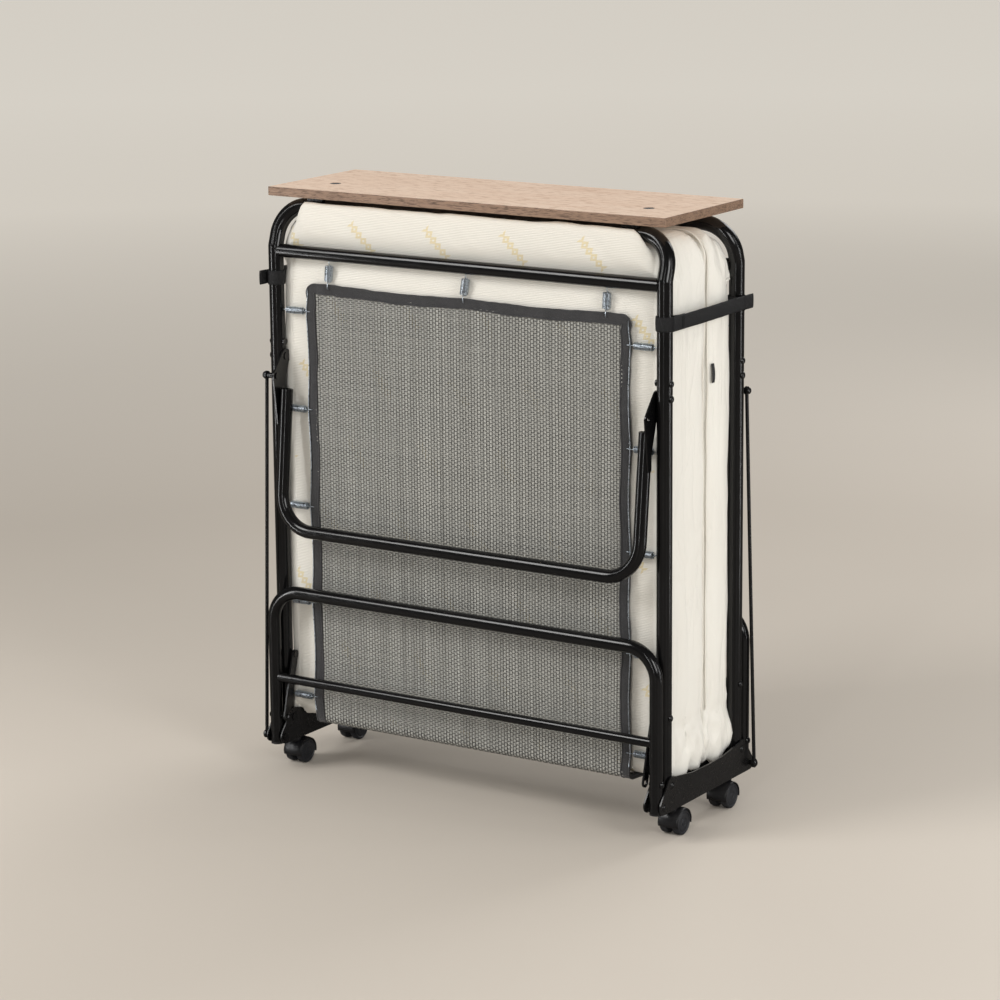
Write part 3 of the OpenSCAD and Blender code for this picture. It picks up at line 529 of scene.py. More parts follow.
def pad_folds(V, front):
    """Outward displacement in mm: pulls, creases and the gathered bottom."""
    x, y, z = V.T
    ax = np.abs(x)
    side = sstep(ax, 340, 362)
    s = 1 if front else -1
    sx = np.where(x > 0, 1, 2)
    d = np.zeros(len(V))
    # long upright creases on the border, strongest by the seam
    wob = 9 * n1(z / 1000, 7, 11) + 4 * n1(z / 1000, 23, 12)
    near = np.exp(-((y - s * 0 - (SEAM + 12)) / 30.0) ** 2)
    c1 = n1((y + wob) / 1000, 75, 21) * (0.6 + 0.4 * n1(z / 1000, 5, 31 + (1 if front else 0)))
    d += side * (1.9 + 2.6 * near) * c1
    d += side * 1.0 * n1((y * 0.8 + z * 0.22 + x * 0.1) / 1000, 46, 41)
    # gathered fabric round the fold at the bottom
    low = sstep(-z, -215, -120)
    ang = np.arctan2(z - 178, y - (SEAM + 10) + 1e-6)
    rad = np.hypot(z - 178, y - (SEAM + 10))
    gath = np.sin(ang * 15 + 1.7 * n1(rad / 1000, 30, 51)) * 0.6 + n1((y + 0.5 * z) / 1000, 85, 52) * 0.7
    d += side * low * 5.6 * gath * sstep(rad, 4, 30)
    d += side * low * 3.2 * n1((z * 1.0 - y * 0.3) / 1000, 60, 53)
    puff = np.exp(-((z - 132) / 26.0) ** 2)
    d += side * puff * 6.5 * sstep(z, 103, 116) * (0.8 + 0.5 * n1((y - z) / 1000, 24, 54))
    # slack near the top corners
    top = sstep(z, 800, 905)
    d += side * top * 1.5 * n1((y * 0.9 - z * 0.35) / 1000, 52, 61)
    # broad unevenness of the faces
    flat = 1 - side
    d += flat * (0.9 * n1((x + 0.4 * z) / 1000, 9, 71) + 0.7 * n1((z - 0.3 * x) / 1000, 13, 72))
    d += flat * sstep(z, 905, 930) * (1.4 * n1(x / 1000, 16, 73) + 0.7 * n1((x + z) / 1000, 44, 74))
    return d

def cloth_settle(o, pins):
    """A short cloth run with inner pressure; the pad's points then move at most a few mm."""
    sc = bpy.context.scene
    rest = np.zeros(len(o.data.vertices) * 3); o.data.vertices.foreach_get("co", rest); rest = rest.reshape(-1, 3)
    vg = o.vertex_groups.new(name="pin"); vg.add(pins, 1.0, "REPLACE")
    md = o.modifiers.new("Cloth", "CLOTH")
    st = md.settings
    st.vertex_group_mass = "pin"; st.pin_stiffness = 1.0
    st.quality = 4; st.mass = 0.25
    st.tension_stiffness = 14; st.compression_stiffness = 5; st.shear_stiffness = 4; st.bending_stiffness = 0.25
    st.use_pressure = True; st.uniform_pressure_force = 0.12
    st.effector_weights.gravity = 0
    md.collision_settings.use_collision = False
    sc.frame_start, sc.frame_end = 1, 16
    md.point_cache.frame_start, md.point_cache.frame_end = 1, 16
    for f in range(1, 17): sc.frame_set(f)
    dg = bpy.context.evaluated_depsgraph_get()
    ev = o.evaluated_get(dg)
    out = np.zeros(len(ev.data.vertices) * 3); ev.data.vertices.foreach_get("co", out); out = out.reshape(-1, 3)
    o.modifiers.remove(md); o.vertex_groups.remove(vg)
    sc.frame_set(1)
    return rest, out

PADS = {}
for front in (True, False):
    V, F, n, m = build_pad(front)
    N = vnormals(V, F)
    ctr = V.mean(0)
    if ((V - ctr) * N).sum(1).mean() < 0: F = [f[::-1] for f in F]; N = -N
    V = V + N * pad_folds(V, front)[:, None]
    tag = "front" if front else "rear"
    o = make(tag + "_pad", V * mm, F, MAT["mattress_fabric"])
    pins = list(range(n)) + list(range((m - 1) * n, m * n))
    rest, out = cloth_settle(o, pins)
    D = (out - rest)
    ok = np.isfinite(D).all(1)
    D[~ok] = 0
    # the two end rings close the sides, so they stay where they are
    wr = np.ones(m); wr[:3] = wr[-3:][::-1] = (0.0, 0.35, 0.7)
    D *= np.repeat(wr, n)[:, None]
    L = np.linalg.norm(D, axis=1)
    print("cloth", tag, "moved mm mean", L.mean() * 1000, "max", L.max() * 1000)
    # only the free border and top may move much; the faces are held by the deck and the other half
    x, y, z = (rest * 1000).T
    free = np.clip(sstep(np.abs(x), 318, 350) + sstep(z, 915, 940), 0, 1) * sstep(z, 100, 150)
    capm = (0.8 + 2.2 * free) * mm
    D *= np.minimum(1, capm / (L + 1e-9))[:, None]
    V = (rest + D) * 1000
    # kept clear of the frame
    L1 = main_line(974.0 if front else 968.0)
    ax, sg = np.abs(V[:, 0]), np.sign(V[:, 0])
    hem = 18 + 5 * n1(V[:, 1] / 1000, 38, 55)
    V[:, 2] -= hem * sstep(ax, 360, 368) * (1 - sstep(V[:, 2], 100, 165))
    V[:, 0] = np.clip(V[:, 0], -378.5, 378.5)
    ptop = 98.0 + 8.2 * np.clip((np.abs(V[:, 1]) - 50) / 56, 0, 1)
    onp = (ax > 355) & (ax < 363.5)
    V[onp, 2] = np.maximum(V[onp, 2], ptop[onp])
    V = tube_push(V, L1, 13.3)
    xb = np.arange(-360, 361, 8.0)
    V = tube_push(V, np.c_[xb, np.full(len(xb), -115.0), np.full(len(xb), 900.0)], 12.6)
    V[:, 1] = np.maximum(V[:, 1], np.where(V[:, 2] > 912, -117.0, -112.6))
    V[:, 2] = np.clip(V[:, 2], np.where(np.abs(V[:, 0]) > 363, 78.0, 90.6), 986.5)
    # the front corners sit inside the bends of the tube
    zb = (974.0 if front else 968.0) - 52 * math.cos(math.radians(18))
    dx, dz = np.abs(V[:, 0]) - 322.0, (V[:, 2] - zb) / math.cos(math.radians(18))
    rr = np.hypot(dx, dz); lim = 38.2 + 30.0 * sstep(V[:, 1], -84, -60) + 30.0 * sstep(V[:, 2], 942, 956) * sstep(-V[:, 1], 103, 107)
    cut = (dx > 0) & (dz > 0) & (rr > lim)
    k = np.where(cut, lim / (rr + 1e-9), 1.0)
    V[:, 0] = np.where(cut, np.sign(V[:, 0]) * (322.0 + dx * k), V[:, 0]); V[:, 2] = np.where(cut, zb + dz * k * math.cos(math.radians(18)), V[:, 2])
    far = (np.abs(V[:, 0]) > 302) & (V[:, 2] < 895)
    V[far, 1] = np.maximum(V[far, 1], -108.5)
    if not front: V[:, 1] *= -1; F = [f[::-1] for f in F]
    o.data.vertices.foreach_set("co", (V * mm).ravel()); 
    if not front: o.data.flip_normals()
    o.data.update()
    panel = o.data.attributes.new("panel", "FLOAT", "POINT")
    panel.data.foreach_set("value", (1 - sstep(np.abs(V[:, 0]), 349, 353)).astype(np.float32))
    keep_rest(o)
    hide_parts(tag + "_mattress", *(["mattress_fold"] if front else []))
    PADS[tag] = V.copy()
    ysm = SEAM * mm
    s = -1 if front else 1
    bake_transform(o)

# piping along both borders of each half
def border_line(ys_mid, ys_side, w, zt, R, z0, bulge):
    P = []
    for z in np.arange(z0, zt - R, 7.0): P.append((w, z))
    for a in np.linspace(0, math.pi / 2, 18): P.append((w - R + R * math.cos(a), zt - R + R * math.sin(a)))
    for x in np.arange(w - R - 8, 0, -10.0): P.append((x, zt))
    P = np.array(P); Q = P.copy()[::-1]; Q[:, 0] *= -1
    P = np.vstack([P, Q])
    y = ys_mid + (ys_side - ys_mid) * sstep(np.abs(P[:, 0]), 240, 350)
    y = y + 1.6 * n1(P[:, 1] / 1000, 17, bulge) * sstep(np.abs(P[:, 0]), 300, 350)
    return np.c_[P[:, 0], y, P[:, 1]]
for front in (True, False):
    tag = "front" if front else "rear"; s = 1 if front else -1
    ysm = SEAM if front else -SEAM
    zt = 966.5 if front else 960.5
    a = border_line(ysm - 7.0, ysm - 6.0 + s * 12.0, 367.3, zt, 42, 178, 81 if front else 82)
    a[:, 0] += np.sign(a[:, 0]) * 0.8 * pad_folds(a, front) * sstep(np.abs(a[:, 0]), 345, 362)
    v, f = sweep(a, circ(1.5, 8), up=(0, 1, 0))
    if not front: v, f = mirror_y(v, f)
    o = make(tag + "_pad_piping", v * mm, f, MAT["piping"])
    keep_rest(o)
    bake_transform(o)

# small plain cloth tag sewn into the rear half's right border
rp = PADS["rear"]; near = (rp[:, 0] > 355) & (np.abs(rp[:, 1] - 42) < 9) & (rp[:, 2] > 712) & (rp[:, 2] < 758)
tag_x = float(rp[near, 0].max()) + 0.5
tv, tf = [], []
for k, (dz, bx) in enumerate([(0, 0.0), (6, 1.1), (12, 1.9), (18, 2.3), (24, 2.1), (31, 1.2)]):
    for yy in (38, 42, 46):
        tv.append((tag_x + bx + 0.25 * (yy - 42) ** 2 / 16, yy, 751 - dz))
nb = len(tv)
tv += [(x - 0.9, y, z) for x, y, z in tv]
for k in range(5):
    for c in range(2):
        a = k * 3 + c
        tf.append((a, a + 3, a + 4, a + 1)); tf.append((nb + a, nb + a + 1, nb + a + 4, nb + a + 3))
rim = [0, 3, 6, 9, 12, 15, 16, 17, 14, 11, 8, 5, 2, 1]
for i in range(len(rim)):
    a, b = rim[i], rim[(i + 1) % len(rim)]
    tf.append((a, nb + a, nb + b, b))
o = make("side_tag", np.array(tv) * mm, tf, MAT["label"]); keep_rest(o)
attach(o, "rear_frame")

# ------------------------------------------------------------------ mesh deck
ST = 849.0 - 100.0; SC = ST + 12 * math.pi / 2; SE = SC + 102.6
def deck_at(s):
    s = np.asarray(s, float)
    ph = np.clip((s - ST) / 12.0, 0, math.pi / 2)
    y = np.where(s <= ST, -115.0, np.where(s <= SC, -103 - 12 * np.cos(ph), -103 + (s - SC)))
    z = np.where(s <= ST, 849.0 - s, np.where(s <= SC, 100 - 12 * np.sin(ph), 88.0))
    return y, z, -np.cos(ph), -np.sin(ph)

SPZ = [134, 300, 467, 634, 800]; SPX = [-268, 0, 268]
def scal_side(s):
    """How far the deck's side edge draws in between the springs."""
    z = 849.0 - np.asarray(s, float)
    k = np.array([60] + SPZ + [866], float)
    i = np.clip(np.searchsorted(k, z) - 1, 0, len(k) - 2)
    t = np.clip((z - k[i]) / (k[i + 1] - k[i]), 0, 1)
    return 3.4 * np.sin(t * np.pi) ** 1.2
def scal_top(x):
    k = np.array([-330, -268, 0, 268, 330], float); x = np.asarray(x, float)
    i = np.clip(np.searchsorted(k, x) - 1, 0, len(k) - 2)
    t = np.clip((x - k[i]) / (k[i + 1] - k[i]), 0, 1)
    return np.where((i == 1) | (i == 2), 3.2, 0.8) * np.sin(t * np.pi)

def ribbons(lines, width, face):
    """Makes no threads: returns empty vertex and face lists. lines: not used."""
    V, F, o = [], [], 0
    return V, F

def weave(front):
    px, ps = 5.7, 3.3
    xw = np.arange(-297, 297.1, px); sw = np.arange(13, SE, ps)
    nx, ns = len(xw), len(sw)
    seed = 5 if front else 6
    r = np.random.RandomState(seed)
    sagx = 0.5 * noise2((nx, ns), (9, 12), seed)
    sags = 0.5 * noise2((nx, ns), (12, 9), seed + 10)
    X = xw[:, None] + sagx; S = sw[None, :] + sags
    par = ((np.arange(nx)[:, None] + np.arange(ns)[None, :]) % 2) * 2 - 1
    belly = 1.3 * np.sin(np.pi * (xw[:, None] + 300) / 600) * np.sin(np.pi * np.clip(sw[None, :] / ST, 0, 1))
    y, z, ny, nz = deck_at(S)
    def put(h): return X, y + ny * h, z + nz * h
    # warp: along s
    wx = 1.80 * (1 + 0.12 * r.uniform(-1, 1, nx))[:, None]
    h = 0.40 * par + 0.22 + belly
    a = np.stack([X - wx, y + ny * h, z + nz * h], -1); b = np.stack([X + wx, y + ny * h, z + nz * h], -1)
    Vw = np.stack([a, b], 2).reshape(-1, 3)
    i = np.arange(nx)[:, None] * ns + np.arange(ns - 1)[None, :]
    i = i.ravel() * 2
    Fw = np.stack([i, i + 1, i + 3, i + 2], -1)
    # weft: along x
    ws = 0.88 * (1 + 0.12 * r.uniform(-1, 1, ns))[None, :]
    h = -0.40 * par + belly
    y1, z1, ny1, nz1 = deck_at(S - ws); y2, z2, ny2, nz2 = deck_at(S + ws)
    a = np.stack([X, y1 + ny1 * h, z1 + nz1 * h], -1); b = np.stack([X, y2 + ny2 * h, z2 + nz2 * h], -1)
    Vf = np.stack([a, b], 2).reshape(-1, 3)
    i = (np.arange(nx - 1)[:, None] * ns + np.arange(ns)[None, :]).ravel() * 2
    Ff = np.stack([i, i + 1, i + 1 + 2 * ns, i + 2 * ns], -1)
    return (Vw, Fw), (Vf, Ff)

def deck_blend(o, front):
    if front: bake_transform(o)
    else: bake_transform(o)

for front in (True, False):
    tag = "front" if front else "rear"
    (Vw, Fw), (Vf, Ff) = weave(front)
    for nm, V, F, mt in (("warp", Vw, Fw, "mesh_warp"), ("weft", Vf, Ff, "mesh_weft")):
        F = F.tolist()
        if not front: V, F = mirror_y(V, F)
        o = make(f"{tag}_deck_{nm}", V * mm, F, MAT[mt])
        keep_rest(o)
        if nm == "warp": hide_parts(tag + "_mesh_panel", *(["centre_mesh"] if front else []))
        deck_blend(o, front)
    # binding
    pts = []
    for s in np.arange(SE, 26, -6.0): pts.append((-1, s))
    cor = [(-296 - 9 * math.cos(a), 27 - 9 - 9 * math.sin(a) + 9) for a in np.linspace(0, math.pi / 2, 7)]
    path, nrm = [], []
    for s in np.arange(SE, 27, -6.0):
        path.append((-305 + float(scal_side(s)), s)); nrm.append((-1, 0))
    for a in np.linspace(0.0, math.pi / 2, 9):
        path.append((-296 - 9 * math.cos(a), 18 - 9 * math.sin(a))); nrm.append((-math.cos(a), -math.sin(a)))
    for x in np.arange(-288, 288.1, 6.0):
        path.append((x, 9 + float(scal_top(x)))); nrm.append((0, -1))
    k = len(path)
    for a in np.linspace(math.pi / 2, 0.0, 9):
        path.append((296 + 9 * math.cos(a), 18 - 9 * math.sin(a))); nrm.append((math.cos(a), -math.sin(a)))
    for s in np.arange(27, SE + 0.1, 6.0):
        path.append((305 - float(scal_side(s)), s)); nrm.append((1, 0))
    path, nrm = np.array(path), np.array(nrm, float)
    L = np.r_[0, np.cumsum(np.linalg.norm(np.diff(path, axis=0), axis=1))]
    sd = 91 if front else 92
    wo = 9.0 + 0.8 * n1(L / 1000, 28, sd) + 0.4 * n1(L / 1000, 90, sd + 1)
    wi = 9.2 + 1.0 * n1(L / 1000, 24, sd + 2) + 0.5 * n1(L / 1000, 75, sd + 3)
    wav = 0.9 * n1(L / 1000, 20, sd + 4) + 0.35 * n1(L / 1000, 110, sd + 5)
    # cross-section: u across (+ outward), h off the deck; two raised stitch rows
    cu = np.array([-1, -0.97, -0.80, -0.70, -0.58, -0.2, 0.2, 0.55, 0.68, 0.80, 0.97, 1.0])
    ch = np.array([0.2, 1.9, 2.3, 1.0, 1.25, 1.3, 1.32, 1.3, 1.0, 2.3, 2.0, 0.2])
    U = np.where(cu[None] > 0, cu[None] * wo[:, None], cu[None] * wi[:, None])
    H = ch[None] * (1 + 0.12 * n1(L / 1000, 60, sd + 6))[:, None] + wav[:, None] * 0.8
    Hb = -ch[None, ::-1] + wav[:, None] * 0.8
    Uall = np.hstack([U, U[:, ::-1]]); Hall = np.hstack([H, Hb])
    X2 = path[:, None, 0] + nrm[:, None, 0] * Uall
    S2 = path[:, None, 1] + nrm[:, None, 1] * Uall
    y, z, ny, nz = deck_at(S2)
    V = np.stack([X2, y + ny * Hall, z + nz * Hall], -1)
    kk = V.shape[1]; V = V.reshape(-1, 3)
    F = []
    for i in range(len(path) - 1):
        for j in range(kk):
            j2 = (j + 1) % kk
            F.append((i * kk + j, (i + 1) * kk + j, (i + 1) * kk + j2, i * kk + j2))
    F.append(tuple(range(kk))); F.append(tuple(range((len(path) - 1) * kk, len(path) * kk))[::-1])
    if not front: V, F = mirror_y(V, F)
    o = make(tag + "_deck_binding", V * mm, F, MAT["binding_fabric"])
    keep_rest(o)
    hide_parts(tag + "_mesh_binding")
    deck_blend(o, front)
    # edge wires the springs hook on
    parts = []
    for sg in (-1, 1):
        s = np.arange(10, 742, 8.0)
        x = sg * (314.0 - scal_side(s) - 1.2)
        y, z, ny, nz = deck_at(s)
        parts.append(sweep(np.c_[x, y - 2.3, z], circ(0.95, 7), up=(1, 0, 0)))
    v, f = join(parts)
    if not front: v, f = mirror_y(v, f)
    o = make(tag + "_deck_wires", v * mm, f, MAT["zinc_steel"])
    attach(o, tag + "_frame")

# ------------------------------------------------------------------ deck springs
def coil(r, pitch, length, turn0=0.0, per=14):
    n = int(round(length / pitch * per)) + 1
    t = np.arange(n) / per * 2 * math.pi
    s = np.linspace(0, length, n)
    rr = r * np.clip(0.42 + np.minimum(np.arange(n), np.arange(n)[::-1]) / (per * 0.9), 0, 1)
    return s, rr * np.cos(t + turn0), rr * np.sin(t + turn0)

def spring(a, b, r, wire, pitch, hook_a, hook_b, up):
    """A closed coil from a to b, with the hook points given at each end."""
    a, b = np.array(a, float), np.array(b, float)
    d = b - a; L = np.linalg.norm(d); d /= L
    u = np.array(up, float); u -= d * (u @ d); u /= np.linalg.norm(u); w = np.cross(d, u)
    s, c1, c2 = coil(r, pitch, L)
    P = a[None] + s[:, None] * d + c1[:, None] * u + c2[:, None] * w
    P = np.vstack([np.array(hook_a, float).reshape(-1, 3), P, np.array(hook_b, float).reshape(-1, 3)])
    return sweep(P, circ(wire, 6), up=up)

for front in (True, False):
    tag = "front" if front else "rear"
    parts = []
    for k, z in enumerate(SPZ):
        for sg in (-1, 1):
            jig = 0.6 * math.sin(k * 2.1 + sg)
            ha = [(sg * 307, -112.6, z), (sg * 306.2, -115.0, z), (sg * 306.6, -118.2, z + 0.6), (sg * 309.0, -119.3, z + 1.0), (sg * 313, -118.6, z + 0.6), (sg * 317, -116.4, z)]
            hb = [(sg * 356, -115, z), (sg * 359.5, -115, z), (sg * 363.6, -115, z)]
            parts.append(spring((sg * 319.0, -115, z + jig), (sg * 353.6, -115, z), 5.3, 0.84, 1.95, ha, hb, (0, -1, 0)))
    v, f = join(parts)
    if not front: v, f = mirror_y(v, f)
    o = make(tag + "_side_spring_coils", v * mm, f, MAT["zinc_steel"])
    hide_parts(tag + "_side_springs"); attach(o, tag + "_frame")
    parts = []
    for k, x in enumerate(SPX):
        e = 842.0
        lean = (2.4, 4.5, 1.4)[k]
        ha = [(x, -112.6, e), (x, -115.0, e - 0.8), (x + 0.5, -118.3, e), (x + 1.0, -119.4, e + 3), (x + 0.5, -118.6, e + 7), (x, -116.2, e + 10.5)]
        hb = [(x + lean, -115, 882.6), (x + lean, -115, 886), (x + lean, -115, 891.0)]
        parts.append(spring((x, -115, 853.6), (x + lean, -115, 880.4), 6.25, 0.88, 2.0, ha, hb, (0, -1, 0)))
    v, f = join(parts)
    if not front: v, f = mirror_y(v, f)
    o = make(tag + "_top_spring_coils", v * mm, f, MAT["zinc_steel"])
    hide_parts(tag + "_top_springs"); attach(o, tag + "_frame")

# ------------------------------------------------------------------ straps
def band(path, z0, h, th, seed, rows=9):
    """A webbing band along a 2D path (x, y), upright, with a slight wave and soft edges."""
    P = np.array(path, float)
    T = np.gradient(P, axis=0); T /= np.linalg.norm(T, axis=1)[:, None] + 1e-9
    N = np.c_[T[:, 1], -T[:, 0]]
    L = np.r_[0, np.cumsum(np.linalg.norm(np.diff(P, axis=0), axis=1))]
    q = np.linspace(-0.5, 0.5, rows)
    zz = z0 + q[None] * (h + 0.5 * n1(L / 1000, 90, seed)[:, None]) + 0.7 * n1(L / 1000, 9, seed + 1)[:, None]
    crown = 0.35 * np.cos(q * math.pi)[None] + 0.12 * n1(L / 1000, 60, seed + 2)[:, None]
    th2 = th / 2 * (1 - 0.55 * (np.abs(q * 2) ** 8))[None]
    out = np.stack([P[:, None, 0] + N[:, None, 0] * (th2 + crown), P[:, None, 1] + N[:, None, 1] * (th2 + crown), zz], -1)
    inn = np.stack([P[:, None, 0] - N[:, None, 0] * (th2 - crown), P[:, None, 1] - N[:, None, 1] * (th2 - crown), zz], -1)
    ring = np.concatenate([out, inn[:, ::-1]], 1)
    k = ring.shape[1]; V = ring.reshape(-1, 3); F = []
    for i in range(len(P) - 1):
        for j in range(k):
            j2 = (j + 1) % k
            F.append((i * k + j, i * k + j2, (i + 1) * k + j2, (i + 1) * k + j))
    F.append(tuple(range(k))[::-1]); F.append(tuple(range((len(P) - 1) * k, len(P) * k)))
    return V, F

def strap_parts(z, seed):
    """Front ring, and the run with its rear ring, for the strap on the right side."""
    h, th = 23.5, 1.5
    # front: from under the run, round the tube
    a = np.radians(np.linspace(62, 360 + 2, 60))
    ring = [(HX + 13.95 * math.cos(t), -HY + 13.95 * math.sin(t)) for t in a]
    f1 = band([(386.4, -76), (386.3, -86), (385.6, -94), (383.2, -99.5)] + ring, z, h, th, seed)
    run = [(389.2, y) for y in np.arange(-116, 116, 7.0)]
    run = [(x + 0.5 * math.sin((y + 100) / 40.0), y) for x, y in run]
    a2 = np.radians(np.linspace(0, 295, 48))
    ring2 = [(HX + 13.95 * math.cos(t), HY + 13.95 * math.sin(t)) for t in a2]
    tail = [(389.4, 116), (389.6, 124), (389.9, 132), (390.2, 140)]
    r1 = band(run + tail, z + 0.6, h, th, seed + 7)
    r2 = band(ring2, z - 0.3, h + 0.3, th, seed + 9)
    # stitch bars where the band is sewn back on itself
    st = []
    for y in (-88, -84, 128, 133):
        st.append(sweep([(390.25, y, z - 9.2), (390.7, y + 0.4, z - 4), (390.7, y, z), (390.7, y + 0.4, z + 4), (390.25, y, z + 9.2)], circ(0.42, 6), up=(1, 0, 0)))
    return [f1], [r1, r2] + st

for side in ("right", "left"):
    z = 840.0 if side == "right" else 854.0
    A, B = strap_parts(z, 101 if side == "right" else 131)
    for nm, parts in (("loop", A), ("run", B)):
        v, f = join(parts)
        if side == "left":
            v = v * np.array([-1, -1, 1.0])
        o = make(f"{side}_strap_{nm}", v * mm, f, MAT["webbing"])
        keep_rest(o)
        body = "front_frame" if side == "right" else "rear_frame"
        if nm == "loop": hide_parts(side + "_strap")
        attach(o, body)
        if nm == "run":
            sg = -1 if side == "right" else 1
            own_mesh(o)
print("parts done")

# ------------------------------------------------------------------ headboard
def board():
    L, Wd, z0, z1 = 760.0, 251.0, 991.2, 1006.0
    b = 0.9
    nx, ny = 40, 14
    hx, hy = L / 2, Wd / 2
    def rr(w, d, z, n=6, r=2.2):
        P = []
        for cx, cy, a0 in ((w - r, d - r, 0), (-(w - r), d - r, 90), (-(w - r), -(d - r), 180), (w - r, -(d - r), 270)):
            for k in range(n):
                a = math.radians(a0 + 90 * k / (n - 1)); P.append((cx + r * math.cos(a), cy + r * math.sin(a), z))
        return P
    rings = [rr(hx - b, hy - b, z1), rr(hx - 0.25 * b, hy - 0.25 * b, z1 - 0.25 * b), rr(hx, hy, z1 - b), rr(hx, hy, z0 + b), rr(hx - 0.25 * b, hy - 0.25 * b, z0 + 0.25 * b), rr(hx - b, hy - b, z0)]
    k = len(rings[0]); V = [p for r in rings for p in r]; F = []; MI = []
    for i in range(len(rings) - 1):
        for j in range(k):
            j2 = (j + 1) % k
            F.append((i * k + j, (i + 1) * k + j, (i + 1) * k + j2, i * k + j2)); MI.append(1)
    # top and bottom faces with the two screw recesses, cut as bridged rings
    # rim rings of the two screw recesses in the top face; the top face is filled round them and the bottom face made
    # further down
    def face(ring0, z, top):
        base = len(V)
        holes = []
        for sx in (-1, 1):
            h = []
            for j in range(24):
                a = 2 * math.pi * j / 24
                V.append((sx * 302 + 9.2 * math.cos(a), -41 + 9.2 * math.sin(a), z)); h.append(len(V) - 1)
            holes.append(h)
        return holes
    ht = face(0, z1, True)
    V2 = list(V)
    for h in ht:
        lowr = []
        for i in h:
            x, y, z = V2[i]; V2.append((x, y, z - 2.0)); lowr.append(len(V2) - 1)
        for j in range(24):
            j2 = (j + 1) % 24
            F.append((h[j], h[j2], lowr[j2], lowr[j])); MI.append(1)
        F.append(tuple(lowr)); MI.append(1)
    return np.array(V2), F, MI, k, ht
Vb, Fb, MI, k, ht = board()
import bmesh
me = bpy.data.meshes.new("headboard_panel")
bm = bmesh.new()
vs = [bm.verts.new(tuple(p * mm)) for p in Vb]
for f, mi in zip(Fb, MI):
    q = bm.faces.new([vs[i] for i in f]); q.material_index = mi; q.smooth = False
nr = len(Vb)
topl = [vs[i] for i in range(k)]; botl = [vs[i] for i in range(5 * k, 6 * k)]
q = bm.faces.new(botl[::-1]); q.material_index = 0
edges = []
for loop in [topl] + [[vs[i] for i in h] for h in ht]:
    for i in range(len(loop)):
        a, b = loop[i], loop[(i + 1) % len(loop)]
        e = bm.edges.get((a, b)) or bm.edges.new((a, b)); edges.append(e)
r = bmesh.ops.triangle_fill(bm, edges=edges, use_beauty=True, use_dissolve=False)
for g in r["geom"]:
    if isinstance(g, bmesh.types.BMFace): g.material_index = 0
bmesh.ops.recalc_face_normals(bm, faces=bm.faces)
bm.to_mesh(me); bm.free()
o = bpy.data.objects.new("headboard_panel", me); bpy.context.scene.collection.objects.link(o)
me.materials.append(MAT["oak_board"]); me.materials.append(MAT["oak_edge"])
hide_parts("headboard"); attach(o, "front_frame")

# ------------------------------------------------------------------ casters
def lathe(prof, n=56, cx=(0, 0, 0)):
    """prof: (axial x, radius) points; turned about X through cx."""
    V, F = [], []
    for i, (x, r) in enumerate(prof):
        for j in range(n):
            a = 2 * math.pi * j / n
            V.append((cx[0] + x, cx[1] + r * math.cos(a), cx[2] + r * math.sin(a)))
    for i in range(len(prof) - 1):
        for j in range(n):
            j2 = (j + 1) % n
            F.append((i * n + j, i * n + j2, (i + 1) * n + j2, (i + 1) * n + j))
    F.append(tuple(range(n))[::-1]); F.append(tuple(range((len(prof) - 1) * n, len(prof) * n)))
    return np.array(V), F

def wheel_half():
    p = [(5.2, 5), (5.2, 18.2), (5.6, 19.6), (6.8, 20.6), (8.4, 20.95), (11.6, 21.0), (14.4, 20.95), (16.4, 20.5), (17.5, 19.4), (18.0, 17.9),
         (17.9, 17.3), (16.9, 16.7), (16.5, 16.1), (16.55, 15.2), (17.1, 14.6), (17.35, 13.4), (17.5, 9.0), (17.45, 7.4), (16.9, 6.7), (16.8, 6.2), (17.2, 5.6), (17.7, 4.8), (17.9, 3.0), (18.0, 0.6)]
    return p

